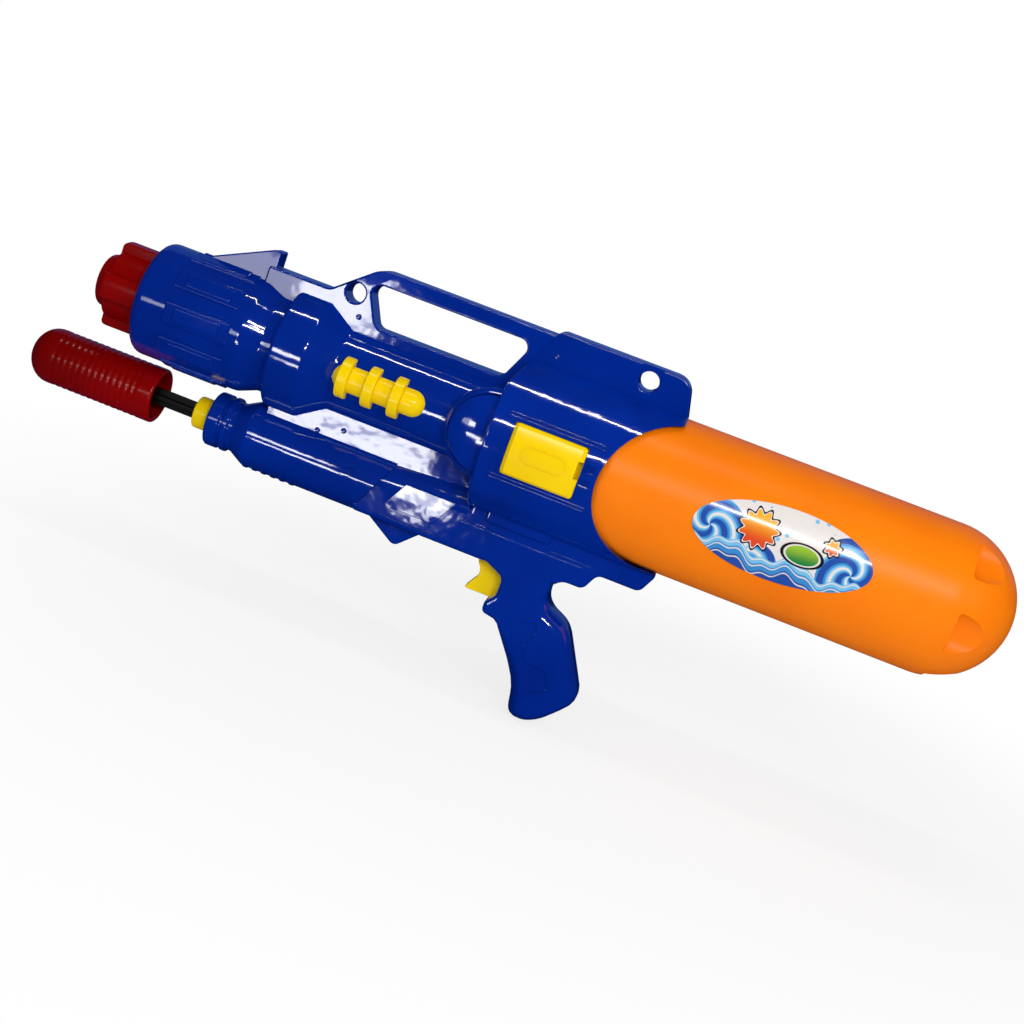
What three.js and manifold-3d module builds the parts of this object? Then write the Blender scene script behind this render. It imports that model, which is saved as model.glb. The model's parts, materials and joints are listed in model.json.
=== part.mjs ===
// A pump action water squirter: a clamshell casing with a screw-on tank, a twist nozzle, a hand pump
// and a trigger.
// Millimetres, +Z up, muzzle towards -X, and the side with -Y is the shooter's left.
// Heights are measured from the barrel line and stations from the trigger pin; the last group moves the
// origin to the place where the hand holds the grip.
import * as THREE from "three";
import { mergeVertices } from "three/addons/utils/BufferGeometryUtils.js";
import Module from "manifold-3d";

const wasm = await Module();
wasm.setup();

// Fits, walls and facets
const GAP = 0.3; // between pieces that meet
const RUNNING = 0.4; // round a piece that turns or slides
const PARTING = 0.3; // between the two casing halves
const WALL = 2.2; // casing wall
const RIB = 2; // thickness of the casing's inner ribs
const OVER = 5; // how far a cutting body reaches past what it cuts
const FINE = 32; // sides of the large round bodies
const ROUND = 16; // sides of the middling ones
const SMALL = 10; // sides of pins, screws and spigots
const ARC_STEPS = 2; // steps in a rounded corner
const CORNER_SHARE = 0.49; // most of an edge that one rounded corner may use

// Barrel line of the casing, from the housing forwards
const HOUSING_LEAD = 28; // housing front ahead of the trigger pin
const BARREL_LENGTH = 110;
const BARREL_R = 29.5;
const SHOULDER_LENGTH = 19;
const DRUM_LENGTH = 23;
const DRUM_R = 41;
const NECK_LENGTH = 8;
const NECK_R = 33.5;
const COLLAR_TAPER = 13;
const COLLAR_LENGTH = 76;
const COLLAR_R = 38.8;
const COLLAR_RIM = 7; // length of the rounded front rim
const COLLAR_RIM_R = 33;
const PAD_COUNT = 10;
const PAD_LENGTH = 46;
const PAD_WIDTH = 14;
const PAD_RISE = 1.6;
const PAD_SETBACK = 23; // from the collar's front rim
const BULGE_R = 30;
const BULGE_REACH = 45; // from the middle plane to the crown
const BULGE_EDGE = 33; // from the middle plane to the rim
const BULGE_STEPS = 4;

// Sight, carrying handle and rear fin
const SIGHT_HALF = 7.5;
const SIGHT_TOP = 59;
const SIGHT_LENGTH = 58;
const SIGHT_CREST = 5;
const SIGHT_SETBACK = 19; // foot of the sight behind the collar's front rim
const HANDLE_HALF = 10;
const HANDLE_EDGE = 1.5; // chamfer along the handle and fins
const HANDLE_LEAD = 5; // foot of the handle ahead of the drum's rear edge
const HANDLE_RUN = 29; // length of the handle's sloping front
const HANDLE_TOP = 72;
const WEB_TOP = 48.3;
const BAR_HEIGHT = 10;
const OPENING_FLOOR = 34.5;
const OPENING_SLANT = 13;
const OPENING_REAR = 8; // end of the opening's floor ahead of the housing front
const OPENING_ROUND = 6;
const FIN_HALF = 11;
const FIN_TOP = 75.3;
const FIN_REACH = 114; // rear end behind the housing front
const FIN_SLANT = 18;
const FIN_FOOT = 36;
const FIN_ROUND = 12;
const STRAP_HOLE_R = 6.6;
const STRAP_FRONT_LEAD = 6.6; // hole centre ahead of the shoulder's end
const STRAP_FRONT_DROP = 20.4; // hole centre below the handle's top
const STRAP_REAR_LEAD = 31.7; // hole centre ahead of the fin's rear end
const STRAP_REAR_DROP = 10.2; // hole centre below the fin's top

// Housing round the tank
const HOUSING_WALL = 2.7; // round the room for the tank
const MOUTH_R = 49; // round cut in both sides that shows the tank
const MOUTH_DEPTH = 75; // housing front to the deepest point of that cut
const SKIRT_LENGTH = 131; // housing front to the skirt's rear end
const BEAD_HEIGHT = 19.4;
const BEAD_RISE = 0.7;
const BEAD_WIDTH = 1.2;
const BEAD_LENGTH = 64;
const BEAD_LEAD = 10; // behind the housing front

// Pump tube, web and lower frame
const PUMP_DROP = 62.3; // pump line below the barrel line
const TUBE_R = 23;
const TUBE_LENGTH = 122;
const TUBE_REAR = 90; // rear end ahead of the trigger pin
const TUBE_SLANT = 27; // lean of the tube's rear cut, in degrees
const RING_R = 18.8;
const RING_WIDTH = 9;
const SECOND_RING = 4;
const RING_GROOVE = 2.5;
const RING_GROOVE_R = 17;
const SWELL_LENGTH = 13;
const TUBE_RIBS = 6;
const TUBE_RIB_PITCH = 6.75;
const TUBE_RIB_WIDTH = 1.6;
const TUBE_RIB_RISE = 0.6;
const TUBE_RIB_HALF = 12;
const WEB_HALF = 13;
const FRAME_HALF = 17;
const FRAME_TOP = -48; // under the housing
const FRAME_BROW = -57.3; // top of its front end
const FRAME_BROW_RISE = 4.6; // up to the housing
const FRAME_FLOOR = -83;
const FRAME_EDGE = 2; // chamfer along the frame and grip
const FRAME_ROUND = 4;
const FRAME_LAP = 3; // frame ahead of the tube's rear cut
const SKIRT_FLOOR = -64.4;
const SKIRT_ROUND = 6;
const LUG_HALF = 9;
const LUG_LEAD = 6; // ahead of the tube's rear end
const LUG_TIP = -98;
const LUG_TIP_ROUND = 5;
const LUG_RUN = 29.5; // from its front to its tip
const LUG_RETURN = 15.5; // from its tip back up to the frame
const LUG_TAIL = 18;
const LUG_ROUND = 3;
const PLATE_LENGTH = 36;
const PLATE_HEIGHT = 19;
const PLATE_SLANT = 11;
const PLATE_RISE = 1;
const PLATE_LEAD = 45; // rear lower corner ahead of the trigger pin
const PLATE_DROP = 5; // below the top of the frame
const BOX_LENGTH = 32;
const BOX_HEIGHT = 9;
const BOX_RISE = 3;

// Grip, in its own leaning directions: depth runs back, drop runs down the grip
const GRIP_X = 20;
const GRIP_Z = -119;
const GRIP_RAKE = 26; // degrees
const GRIP_DEPTH = 44;
const GRIP_DROP = 67.5;
const GRIP_TOE = 6;
const GRIP_TOE_ROUND = 8;
const GRIP_HEEL = 57;
const GRIP_HEEL_ROUND = 9;
const GRIP_WAIST = 42;
const FINGER_CUT = 10; // depth of the hollow behind the trigger
const FINGER_ROUND = 6;
const NUB_Z = -108;
const NUB_X = 4.5;
const NUB_HEIGHT = 7.5;
const NUB_ROUND = 3;
const HAND_X = 42; // hollow that takes the web of the hand
const HAND_HEIGHT = 18;
const HAND_ROUND = 8;
const BACK_LOBE = 62;
const BACK_LOBE_Z = -76.5;
const BACK_LOBE_RUN = 6;

// Nozzle
const NOZZLE_REACH = 35; // ahead of the collar's rim
const NOZZLE_BOSS_R = 18;
const NOZZLE_BOSS = 8;
const NOZZLE_ROUND = 4;
const NOZZLE_R = 24;
const NOZZLE_RIBS = 4;
const NOZZLE_RIB_R = 29.5;
const NOZZLE_RIB_WIDTH = 17;
const NOZZLE_SEAT = 15; // length inside the collar
const NOZZLE_MOUTH = 0.8; // room round the ribs in the collar
const JET_R = 1.6;
const JET_LENGTH = 10;
const SPIGOT_R = 9;
const SPIGOT_LENGTH = 36;
const STEM_R = 7;
const STEM_LENGTH = 47;
const STEM_SADDLE = 5; // casing ribs from each end of the stem
const FLANGE_R = 12;
const FLANGE_WIDTH = 3;
const SEAL_WIRE = 2;
const SEAL_SETBACK = 8;

// Yellow trims and port covers
const TRIM_R = 9;
const TRIM_RINGS = 3;
const TRIM_RING_R = 13.7;
const TRIM_RING_WIDTH = 7.2;
const TRIM_RING_PITCH = 18.2;
const TRIM_LEAD = 9.2; // nose ahead of the first ring
const TRIM_TAIL = 19.1; // tail behind the last ring
const TRIM_SETBACK = 9.4; // first ring behind the shoulder
const TRIM_SINK = 2.5; // trim line inside the barrel's surface
const TRIM_STEPS = 3;
const TRIM_PEG_R = 2.5;
const TRIM_PEG = 6;
const COVER_LENGTH = 48;
const COVER_HEIGHT = 34;
const COVER_LEAD = 16; // behind the housing front
const COVER_RISE = 3; // crown above the housing
const COVER_EDGE = 2.5;
const COVER_LIP = 2.5; // inner flange past the window
const COVER_LIP_DEPTH = 2;

// Pump
const PUMP_GRIP_R = 19.1;
const PUMP_GRIP_LENGTH = 93.7;
const PUMP_GRIP_WALL = 3.4;
const PUMP_GRIP_DOME = 16;
const DOME_STEPS = 4;
const PUMP_OUT = 39.7; // rim of the grip ahead of the tube
const ROD_WIDTH = 11.2;
const ROD_WEB = 3;
const ROD_CLEAR = 0.6;
const ROD_SOCKET = 36;
const ROD_SOCKET_WALL = 3;
const CYLINDER_R = 14.5;
const CYLINDER_WALL = 1.7;
const CYLINDER_END = 2.5;
const FRONT_SADDLE = 39; // casing rib behind the tube's front
const MIDDLE_SADDLE = 45; // casing ribs ahead of the tube's rear end
const REAR_SADDLE = 10;
const TUBE_LIP = 2.5; // casing lip that keeps the gland in
const GLAND_R = 11;
const GLAND_REACH = 12;
const GLAND_ROUND = 1.5;
const GLAND_SPIGOT = 5;
const PISTON_LENGTH = 12;
const PISTON_SOCKET = 8;
const PISTON_END_GAP = 0.8;
const RING_WIRE = 2.2;
const PORT_R = 2.2;

// Hoses and their spigots
const HOSE_R = 3.3;
const HOSE_BORE_R = 2.7;
const BARB_R = 2;
const BARB_BORE_R = 1.1;
const BARB_LENGTH = 10;
const HOSE_SIDES = 6;
const DIP_CLEAR = 2; // dip tube above the tank's wall
const DIP_SLOPE = 0.75; // share of its fall halfway down
const DIP_LANDING = 84; // behind the tank's neck
const DIP_MIDDLE = 96; // ahead of the dome
const DIP_END = 48;
const AIR_SIDE = 9; // air hose to the right of the middle plane
const AIR_LEAN = 2;
const AIR_TURN = 20; // above its spigot's foot
const AIR_TOP = 40;
const AIR_LEAD = 4; // crest ahead of the middle of its run
const AIR_CREST = 2; // above the barrel line
const SUPPLY_LEAD = 6; // bend ahead of the middle of its run
const SUPPLY_SAG = 5;
const OUTLET_SIDE = 9; // outlet hose to the left of the middle plane
const OUTLET_LEAN = 2;
const OUTLET_STRAIGHT = 14; // above its spigot's foot
const OUTLET_TURN = 24;
const OUTLET_TOP = 35;
const OUTLET_SWING = 12; // ahead of its spigot
const OUTLET_LEAD = 36;
const HOSE_STEPS = 14;

// Check valve behind the pump cylinder
const CHECK_ROOM = 4.9; // ahead of the water valve
const CHECK_R = 9;
const CHECK_LENGTH = 23;
const CHECK_SEAT = 7;
const CHECK_CHAMBER_R = 5;
const CHECK_CHAMBER = 13;
const CHECK_BALL_R = 3.2;
const CHECK_OUTLET = 13.5;

// Tank and its socket
const TANK_R = 50.5;
const TANK_CLEAR = 0.8;
const TANK_WALL = 1.8;
const TANK_LENGTH = 321.4;
const TANK_NECK = 21;
const TANK_NECK_R = 19.2;
const TANK_NECK_WALL = 3;
const TANK_SHOULDER = 24;
const TANK_SHOULDER_ROUND = 4;
const TANK_DOME_STEPS = 6;
const SOCKET_LEAD = 24; // socket front behind the housing front
const SOCKET_WALL = 4.2;
const SOCKET_LENGTH = 24;
const SOCKET_END = 4;
const SOCKET_PORT = 7; // ports above and below the middle
const BULKHEAD = 10; // behind the socket's front
const GASKET_WIDTH = 2;
const GASKET_RIM = 5.5;
const NOTCHES = 6;
const NOTCH_WIDTH = 26;
const NOTCH_FLOOR = 42.5;
const NOTCH_SETBACK = 9; // behind the start of the dome
const NOTCH_TURN = 41.4; // first notch from the top towards the left, in degrees
const LABEL_LENGTH = 114.6;
const LABEL_HEIGHT = 47;
const LABEL_RISE = 3.2; // middle of the label above the barrel line
const LABEL_TILT = 2.8; // degrees, up towards the dome
const LABEL_SETBACK = 120.4; // middle of the label behind the shoulder
const LABEL_GLUE = 0.2;
const LABEL_SKIN = 0.4;
const LABEL_STEPS = 12;

// Trigger and water valve
const PIN_Z = -72;
const PIN_R = 2;
const PIN_HALF = 14;
const PIN_BOSS_R = 4.5;
const TRIGGER_HALF = 5;
const TRIGGER_SIDE = 0.6;
const TRIGGER_ARM = 17.5; // above the pin
const TRIGGER_ARM_FRONT = 9;
const TRIGGER_ARM_BACK = 6;
const TRIGGER_TIP_X = -13;
const TRIGGER_TIP_Z = -107;
const TRIGGER_WAIST_X = -5;
const TRIGGER_WAIST_Z = -94;
const TRIGGER_NUB_X = -9.5;
const TRIGGER_NUB_Z = -86.5;
const TRIGGER_BACK = 11;
const TRIGGER_BACK_Z = -88;
const TRIGGER_ROUND = 2;
const TRIGGER_SWING = 22; // slot behind the pin line
const VALVE_RISE = 12; // valve line above the pin
const VALVE_R = 9;
const VALVE_LENGTH = 36;
const VALVE_LEAD = 16; // rear end ahead of the pin
const VALVE_END = 3;
const VALVE_BORE_R = 6;
const VALVE_SADDLES = [20, 31]; // saddle stations ahead of the pin
const PLUNGER_R = 2.5;
const PLUNGER_HEAD_R = 5.4;
const PLUNGER_HEAD = 4;
const VALVE_SEAL = 1;
const VALVE_INLET = 37; // ahead of the pin
const VALVE_OUTLET = 47;

// Springs
const WIRE = 0.9;
const SPRING_STEPS = 8;
const SPRING_SIDES = 5;
const TRIGGER_SPRING_Z = -96;
const TRIGGER_SPRING_R = 3.2;
const TRIGGER_SPRING_TURNS = 5;
const TRIGGER_SPRING_LENGTH = 18;
const VALVE_SPRING_R = 4;
const VALVE_SPRING_TURNS = 5;
const CHECK_SPRING_R = 2.4;
const CHECK_SPRING_TURNS = 1.5;

// Screws, driven in from the right
const SCREW_SIDES = 8;
const SCREW_R = 1.4;
const SCREW_HEAD_R = 3;
const SCREW_HEAD = 2.4;
const SCREW_POINT = 1.2;
const SCREW_FLOOR = 5; // head seat right of the middle plane
const SCREW_DEPTH = 7; // point left of the middle plane
const RECESS_WALL = 0.9;
const NECK_SCREW_LEAD = 1; // behind the neck's front
const NECK_SCREW_DROP = 6.5; // below the handle's foot
const HANDLE_SCREW_LEAD = 1; // ahead of the shoulder's end
const HANDLE_SCREW_RISE = 4.5; // above the opening's floor
const FIN_SCREW_LEAD = 23; // behind the housing front
const FIN_SCREW_TAIL = 13; // ahead of the fin's rear end
const FIN_SCREW_RISE = 2; // above the housing's round
const WEB_SCREW_LEAD = 17; // behind the drum
const WEB_SCREW_RISE = 3; // above the middle of the web
const LUG_SCREW_LEAD = 24; // behind the tube's rear end
const LUG_SCREW_DROP = 4; // below the frame's floor
const FRAME_SCREW_LEAD = 10; // ahead of the hollow for the hand
const FRAME_SCREW_RISE = 4; // above the trigger pin
const GRIP_SCREW_DEPTH = 16.6;
const GRIP_SCREW_DROP = 52.6;
const SKIRT_SCREW_TAIL = 19; // ahead of the skirt's rear end
const SKIRT_SCREW_RISE = 5.5; // above the skirt's floor

// Where the hand holds it, from the trigger pin and the barrel line
const HOLD_X = 50;
const HOLD_Z = -140;

// Stations along the squirter
const housingX = -HOUSING_LEAD;
const shoulderX = housingX - BARREL_LENGTH;
const drumRearX = shoulderX - SHOULDER_LENGTH;
const drumFrontX = drumRearX - DRUM_LENGTH;
const neckFrontX = drumFrontX - NECK_LENGTH;
const collarRearX = neckFrontX - COLLAR_TAPER;
const collarFrontX = collarRearX - COLLAR_LENGTH;
const sightRearX = collarFrontX + SIGHT_SETBACK + SIGHT_LENGTH;
const nozzleFrontX = collarFrontX - NOZZLE_REACH;
const nozzleRearX = collarFrontX + NOZZLE_SEAT;
const finRearX = housingX + FIN_REACH;
const skirtRearX = housingX + SKIRT_LENGTH;
const mouthX = housingX + MOUTH_DEPTH + MOUTH_R;
const strapFront = [shoulderX - STRAP_FRONT_LEAD, HANDLE_TOP - STRAP_FRONT_DROP];
const strapRear = [finRearX - STRAP_REAR_LEAD, FIN_TOP - STRAP_REAR_DROP];
const pumpZ = -PUMP_DROP;
const tubeRearX = -TUBE_REAR;
const tubeFrontX = tubeRearX - TUBE_LENGTH;
const pumpRimX = tubeFrontX - PUMP_OUT;
const valveZ = PIN_Z + VALVE_RISE;
const valveRearX = -VALVE_LEAD;
const valveFrontX = valveRearX - VALVE_LENGTH;
const checkX = valveFrontX - CHECK_ROOM - CHECK_LENGTH;
const checkOutletX = checkX + CHECK_OUTLET;
const cylinderX = tubeFrontX + TUBE_LIP + GAP;
const cylinderRearX = checkX - GAP;
const cylinderBore = CYLINDER_R - CYLINDER_WALL;
const pistonRearX = cylinderRearX - CYLINDER_END - PISTON_END_GAP - PUMP_OUT;
const socketX = housingX + SOCKET_LEAD;
const socketBore = TANK_NECK_R + 2 * GAP;
const socketR = socketBore + SOCKET_WALL;
const tankX = socketX + SOCKET_END + GASKET_WIDTH + 2 * GAP;
const tankShoulderX = tankX + TANK_NECK + TANK_SHOULDER;
const domeX = tankX + TANK_LENGTH - TANK_R;
const housingR = TANK_R + TANK_CLEAR + HOUSING_WALL;
const coverX = housingX + COVER_LEAD;
const trimX = shoulderX + TRIM_SETBACK;
const trimY = BARREL_R - TRIM_SINK;
const rodRoom = ROD_WIDTH / 2 + ROD_CLEAR;
const triggerSpringX = TRIGGER_BACK + GAP;
const recessR = SCREW_HEAD_R + 2 * GAP;
const bossR = recessR + RECESS_WALL;

// Screw places, each beside the part of the casing that it closes
const [gripScrewX, gripScrewZ] = gripPoint(GRIP_SCREW_DEPTH, GRIP_SCREW_DROP);
const webMiddle = (pumpZ + CYLINDER_R - BARREL_R) / 2;
const SCREWS = [
  ["casing_screw_neck", neckFrontX + NECK_SCREW_LEAD, WEB_TOP - NECK_SCREW_DROP],
  ["casing_screw_handle", shoulderX - HANDLE_SCREW_LEAD, OPENING_FLOOR + HANDLE_SCREW_RISE],
  ["casing_screw_fin_front", housingX + FIN_SCREW_LEAD, housingR + FIN_SCREW_RISE],
  ["casing_screw_fin_rear", finRearX - FIN_SCREW_TAIL, housingR + FIN_SCREW_RISE],
  ["casing_screw_web", drumRearX + WEB_SCREW_LEAD, webMiddle + WEB_SCREW_RISE],
  ["casing_screw_lug", tubeRearX + LUG_SCREW_LEAD, FRAME_FLOOR - LUG_SCREW_DROP],
  ["casing_screw_frame", HAND_X - FRAME_SCREW_LEAD, PIN_Z + FRAME_SCREW_RISE],
  ["casing_screw_grip", gripScrewX, gripScrewZ],
  ["casing_screw_skirt", skirtRearX - SKIRT_SCREW_TAIL, SKIRT_FLOOR + SKIRT_SCREW_RISE],
];

// Solids

const join = (first, ...others) => others.reduce((all, next) => all.add(next), first);

const cut = (first, ...others) => others.reduce((left, next) => left.subtract(next), first);

function manifold(positions, triangles) {
  const data = { numProp: 3, vertProperties: positions, triVerts: triangles };
  return new wasm.Manifold(new wasm.Mesh(data));
}

// A closed geometry as a solid whose faces point out.
function solid(geometry) {
  const bare = geometry.clone();
  bare.deleteAttribute("normal");
  bare.deleteAttribute("uv");
  const merged = mergeVertices(bare);
  const positions = merged.attributes.position.array;
  const triangles = new Uint32Array(merged.index.array);
  const made = manifold(positions, triangles);
  return made.volume() < 0 ? manifold(positions, triangles.reverse()) : made;
}

// A profile of [station, radius] points turned about a line along X.
function turned(profile, sides = ROUND, z = 0, y = 0) {
  const points = profile.map(([x, r]) => new THREE.Vector2(r, x));
  const geometry = new THREE.LatheGeometry(points, sides);
  geometry.rotateZ(-Math.PI / 2);
  geometry.translate(0, y, z);
  return solid(geometry);
}

function rodX(x0, x1, r, y, z, sides = SMALL) {
  const geometry = new THREE.CylinderGeometry(r, r, x1 - x0, sides);
  geometry.rotateZ(Math.PI / 2);
  geometry.translate((x0 + x1) / 2, y, z);
  return solid(geometry);
}

function rodY(y0, y1, r, x, z, sides = SMALL) {
  const geometry = new THREE.CylinderGeometry(r, r, y1 - y0, sides);
  geometry.translate(x, (y0 + y1) / 2, z);
  return solid(geometry);
}

function rodZ(z0, z1, r, x, y, sides = SMALL) {
  const geometry = new THREE.CylinderGeometry(r, r, z1 - z0, sides);
  geometry.rotateX(Math.PI / 2);
  geometry.translate(x, y, (z0 + z1) / 2);
  return solid(geometry);
}

function block(x0, x1, y0, y1, z0, z1) {
  const geometry = new THREE.BoxGeometry(x1 - x0, y1 - y0, z1 - z0);
  geometry.translate((x0 + x1) / 2, (y0 + y1) / 2, (z0 + z1) / 2);
  return solid(geometry);
}

// A closed outline through [x, z, radius] corners, each rounded by an arc.
function outline(corners) {
  const points = [];
  const count = corners.length;
  corners.forEach(([x, z, radius = 0], i) => {
    const here = new THREE.Vector2(x, z);
    const [backX, backZ] = corners[(i + count - 1) % count];
    const [nextX, nextZ] = corners[(i + 1) % count];
    const back = new THREE.Vector2(backX, backZ).sub(here);
    const next = new THREE.Vector2(nextX, nextZ).sub(here);
    const limit = CORNER_SHARE * Math.min(back.length(), next.length());
    const half = Math.acos(back.dot(next) / back.length() / next.length()) / 2;
    const reach = Math.min(radius / Math.tan(half), limit);
    const round = reach * Math.tan(half);
    const from = here.clone().addScaledVector(back.normalize(), reach);
    const middle = back.clone().add(next.normalize()).setLength(reach / Math.cos(half)).add(here);
    const start = from.clone().sub(middle).angle();
    const sweep = (Math.PI - 2 * half) * (back.cross(next) > 0 ? -1 : 1);
    for (let k = 0; k <= ARC_STEPS && radius > 0; k++) {
      const turn = start + (sweep * k) / ARC_STEPS;
      points.push(new THREE.Vector2(middle.x + round * Math.cos(turn), middle.y + round * Math.sin(turn)));
    }
    if (radius === 0) points.push(here);
  });
  return new THREE.Shape(points);
}

// The same outline moved inwards by a distance.
function inset(corners, distance) {
  const count = corners.length;
  const area = corners.reduce((sum, [x, z], i) => {
    const [nextX, nextZ] = corners[(i + 1) % count];
    return sum + x * nextZ - nextX * z;
  }, 0);
  const turn = Math.sign(area);
  const edges = corners.map(([x, z], i) => {
    const [nextX, nextZ] = corners[(i + 1) % count];
    const along = new THREE.Vector2(nextX - x, nextZ - z).normalize();
    const point = new THREE.Vector2(x - along.y * turn * distance, z + along.x * turn * distance);
    return { along, point };
  });
  return corners.map(([, , radius = 0], i) => {
    const before = edges[(i + count - 1) % count];
    const after = edges[i];
    const bend = before.along.cross(after.along);
    const step = after.point.clone().sub(before.point).cross(after.along) / bend;
    const point = before.point.clone().addScaledVector(before.along, step);
    const round = radius > 0 ? Math.max(radius - Math.sign(bend * turn) * distance, 0) : 0;
    return [point.x, point.y, round];
  });
}

// A flat plate with an outline in the XZ plane, centred on the middle plane.
function plate(corners, half, edge = 0) {
  const geometry = new THREE.ExtrudeGeometry(outline(corners), {
    depth: 2 * (half - edge),
    bevelEnabled: edge > 0,
    bevelThickness: edge,
    bevelSize: edge,
    bevelOffset: -edge,
    bevelSegments: 1,
  });
  geometry.translate(0, 0, edge - half);
  geometry.rotateX(Math.PI / 2);
  return solid(geometry);
}

// Points of a quarter round from the axis out to a radius, or back to it.
function quarter(x, depth, r, steps, outwards) {
  const points = [];
  for (let i = 0; i <= steps; i++) {
    const turn = (Math.PI / 2) * (i / steps);
    points.push([x - depth * Math.cos(turn), r * Math.sin(turn)]);
  }
  return outwards ? points : points.reverse();
}

// A ring with a round section.
function ring(x, r, wire, z = 0) {
  const points = [];
  for (let i = 0; i <= HOSE_SIDES; i++) {
    const turn = (2 * Math.PI * i) / HOSE_SIDES;
    points.push([x + (wire / 2) * Math.sin(turn), r + (wire / 2) * Math.cos(turn)]);
  }
  return turned(points, ROUND, z);
}

function polygon(r, sides) {
  const points = [];
  for (let i = 0; i < sides; i++) {
    const turn = (2 * Math.PI * i) / sides;
    points.push(new THREE.Vector2(r * Math.cos(turn), r * Math.sin(turn)));
  }
  return points;
}

// A hose with its bore, along a smooth curve through points.
function hose(points, steps = HOSE_STEPS) {
  const section = new THREE.Shape(polygon(HOSE_R, HOSE_SIDES));
  section.holes.push(new THREE.Path(polygon(HOSE_BORE_R, HOSE_SIDES)));
  const route = new THREE.CatmullRomCurve3(points.map((p) => new THREE.Vector3(...p)));
  return solid(new THREE.ExtrudeGeometry(section, { steps, extrudePath: route, bevelEnabled: false }));
}

// A compression spring along X, its ends straight for one wire, with its least gap to itself.
function spring(name, x0, x1, r, turns, z) {
  const count = Math.round(turns * SPRING_STEPS);
  const lead = new THREE.Vector3(x0, 0, z + r);
  const points = [lead];
  for (let i = 0; i <= count; i++) {
    const turn = (2 * Math.PI * i) / SPRING_STEPS;
    const x = x0 + WIRE + ((x1 - x0 - 2 * WIRE) * i) / count;
    points.push(new THREE.Vector3(x, r * Math.sin(turn), z + r * Math.cos(turn)));
  }
  const last = points[points.length - 1];
  points.push(new THREE.Vector3(x1, last.y, last.z));
  let least = Infinity;
  points.forEach((a, i) =>
    points.slice(i + SPRING_STEPS / 2).forEach((b) => {
      least = Math.min(least, a.distanceTo(b) - WIRE);
    }),
  );
  console.log(name + ": least gap between its curls " + least.toFixed(2) + " mm");
  const section = new THREE.Shape(polygon(WIRE / 2, SPRING_SIDES));
  const path = new THREE.CatmullRomCurve3(points);
  const steps = points.length - 1;
  return solid(new THREE.ExtrudeGeometry(section, { steps, extrudePath: path, bevelEnabled: false }));
}

// A hollow spigot pointing up from a round body, joined to it with its bore.
function barbUp(body, x, z, bodyR) {
  const top = z + bodyR + BARB_LENGTH;
  const spigot = rodZ(z + bodyR - WALL, top, BARB_R, x, 0);
  const bore = rodZ(z, top + OVER, BARB_BORE_R, x, 0, HOSE_SIDES);
  return cut(join(body, spigot), bore);
}

// Casing forms: each is the outer skin, or the cavity when it is drawn in by a wall

function barrelForm(wall) {
  return turned(
    [
      [collarFrontX + wall, 0],
      [collarFrontX + wall, COLLAR_RIM_R - wall],
      [collarFrontX + COLLAR_RIM, COLLAR_R - wall],
      [collarRearX, COLLAR_R - wall],
      [neckFrontX, NECK_R - wall],
      [drumFrontX + wall, NECK_R - wall],
      [drumFrontX + wall, DRUM_R - wall],
      [drumRearX, DRUM_R - wall],
      [shoulderX, BARREL_R - wall],
      [housingX + OVER, BARREL_R - wall],
      [housingX + OVER, 0],
    ],
    FINE,
  );
}

function collarPads() {
  const pads = [];
  for (let i = 0; i < PAD_COUNT; i++) {
    const geometry = new THREE.BoxGeometry(PAD_LENGTH, PAD_WIDTH, WALL + PAD_RISE);
    const x = collarFrontX + PAD_SETBACK + PAD_LENGTH / 2;
    geometry.translate(x, 0, COLLAR_R - WALL / 2 + PAD_RISE / 2 - WALL / 4);
    geometry.rotateX(Math.PI / 2 + (2 * Math.PI * i) / PAD_COUNT);
    pads.push(solid(geometry));
  }
  return join(...pads);
}

function sightForm(wall) {
  const foot = COLLAR_R - 2 * WALL;
  const corners = [
    [collarFrontX + SIGHT_SETBACK, foot],
    [sightRearX, foot],
    [sightRearX, SIGHT_TOP],
    [sightRearX - SIGHT_CREST, SIGHT_TOP],
  ];
  return plate(inset(corners, wall), SIGHT_HALF - wall);
}

const openingCorners = [
  [shoulderX, HANDLE_TOP - BAR_HEIGHT, OPENING_ROUND],
  [shoulderX + OPENING_SLANT, OPENING_FLOOR, OPENING_ROUND],
  [housingX - OPENING_REAR, OPENING_FLOOR, OPENING_ROUND],
  [housingX - OPENING_REAR + OPENING_SLANT, HANDLE_TOP - BAR_HEIGHT, OPENING_ROUND],
];

function handleForm(wall) {
  const foot = BARREL_R - 4 * WALL;
  const riseX = drumRearX - HANDLE_LEAD;
  const corners = [
    [sightRearX - SIGHT_CREST, foot],
    [housingX + FIN_SLANT, foot],
    [housingX + FIN_SLANT, HANDLE_TOP],
    [riseX + HANDLE_RUN, HANDLE_TOP, 3 * OPENING_ROUND],
    [riseX, WEB_TOP, OPENING_ROUND],
    [sightRearX - SIGHT_CREST, WEB_TOP],
  ];
  const bar = plate(inset(corners, wall), HANDLE_HALF - wall, wall > 0 ? 0 : HANDLE_EDGE);
  const opening = plate(inset(openingCorners, -wall), HANDLE_HALF + OVER);
  const hole = rodY(-HANDLE_HALF - OVER, HANDLE_HALF + OVER, STRAP_HOLE_R + wall, ...strapFront, ROUND);
  return cut(bar, opening, hole);
}

const housingCorners = [
  [housingX, -housingR - OVER],
  [skirtRearX, -housingR - OVER],
  [skirtRearX, 0],
  [finRearX, 0],
  [finRearX, FIN_TOP - 2 * FIN_ROUND, FIN_ROUND],
  [finRearX - FIN_ROUND / 2, FIN_TOP, FIN_ROUND],
  [housingX + FIN_SLANT, FIN_TOP, FIN_ROUND / 2],
  [housingX, FIN_FOOT, FIN_ROUND / 3],
];

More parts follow.
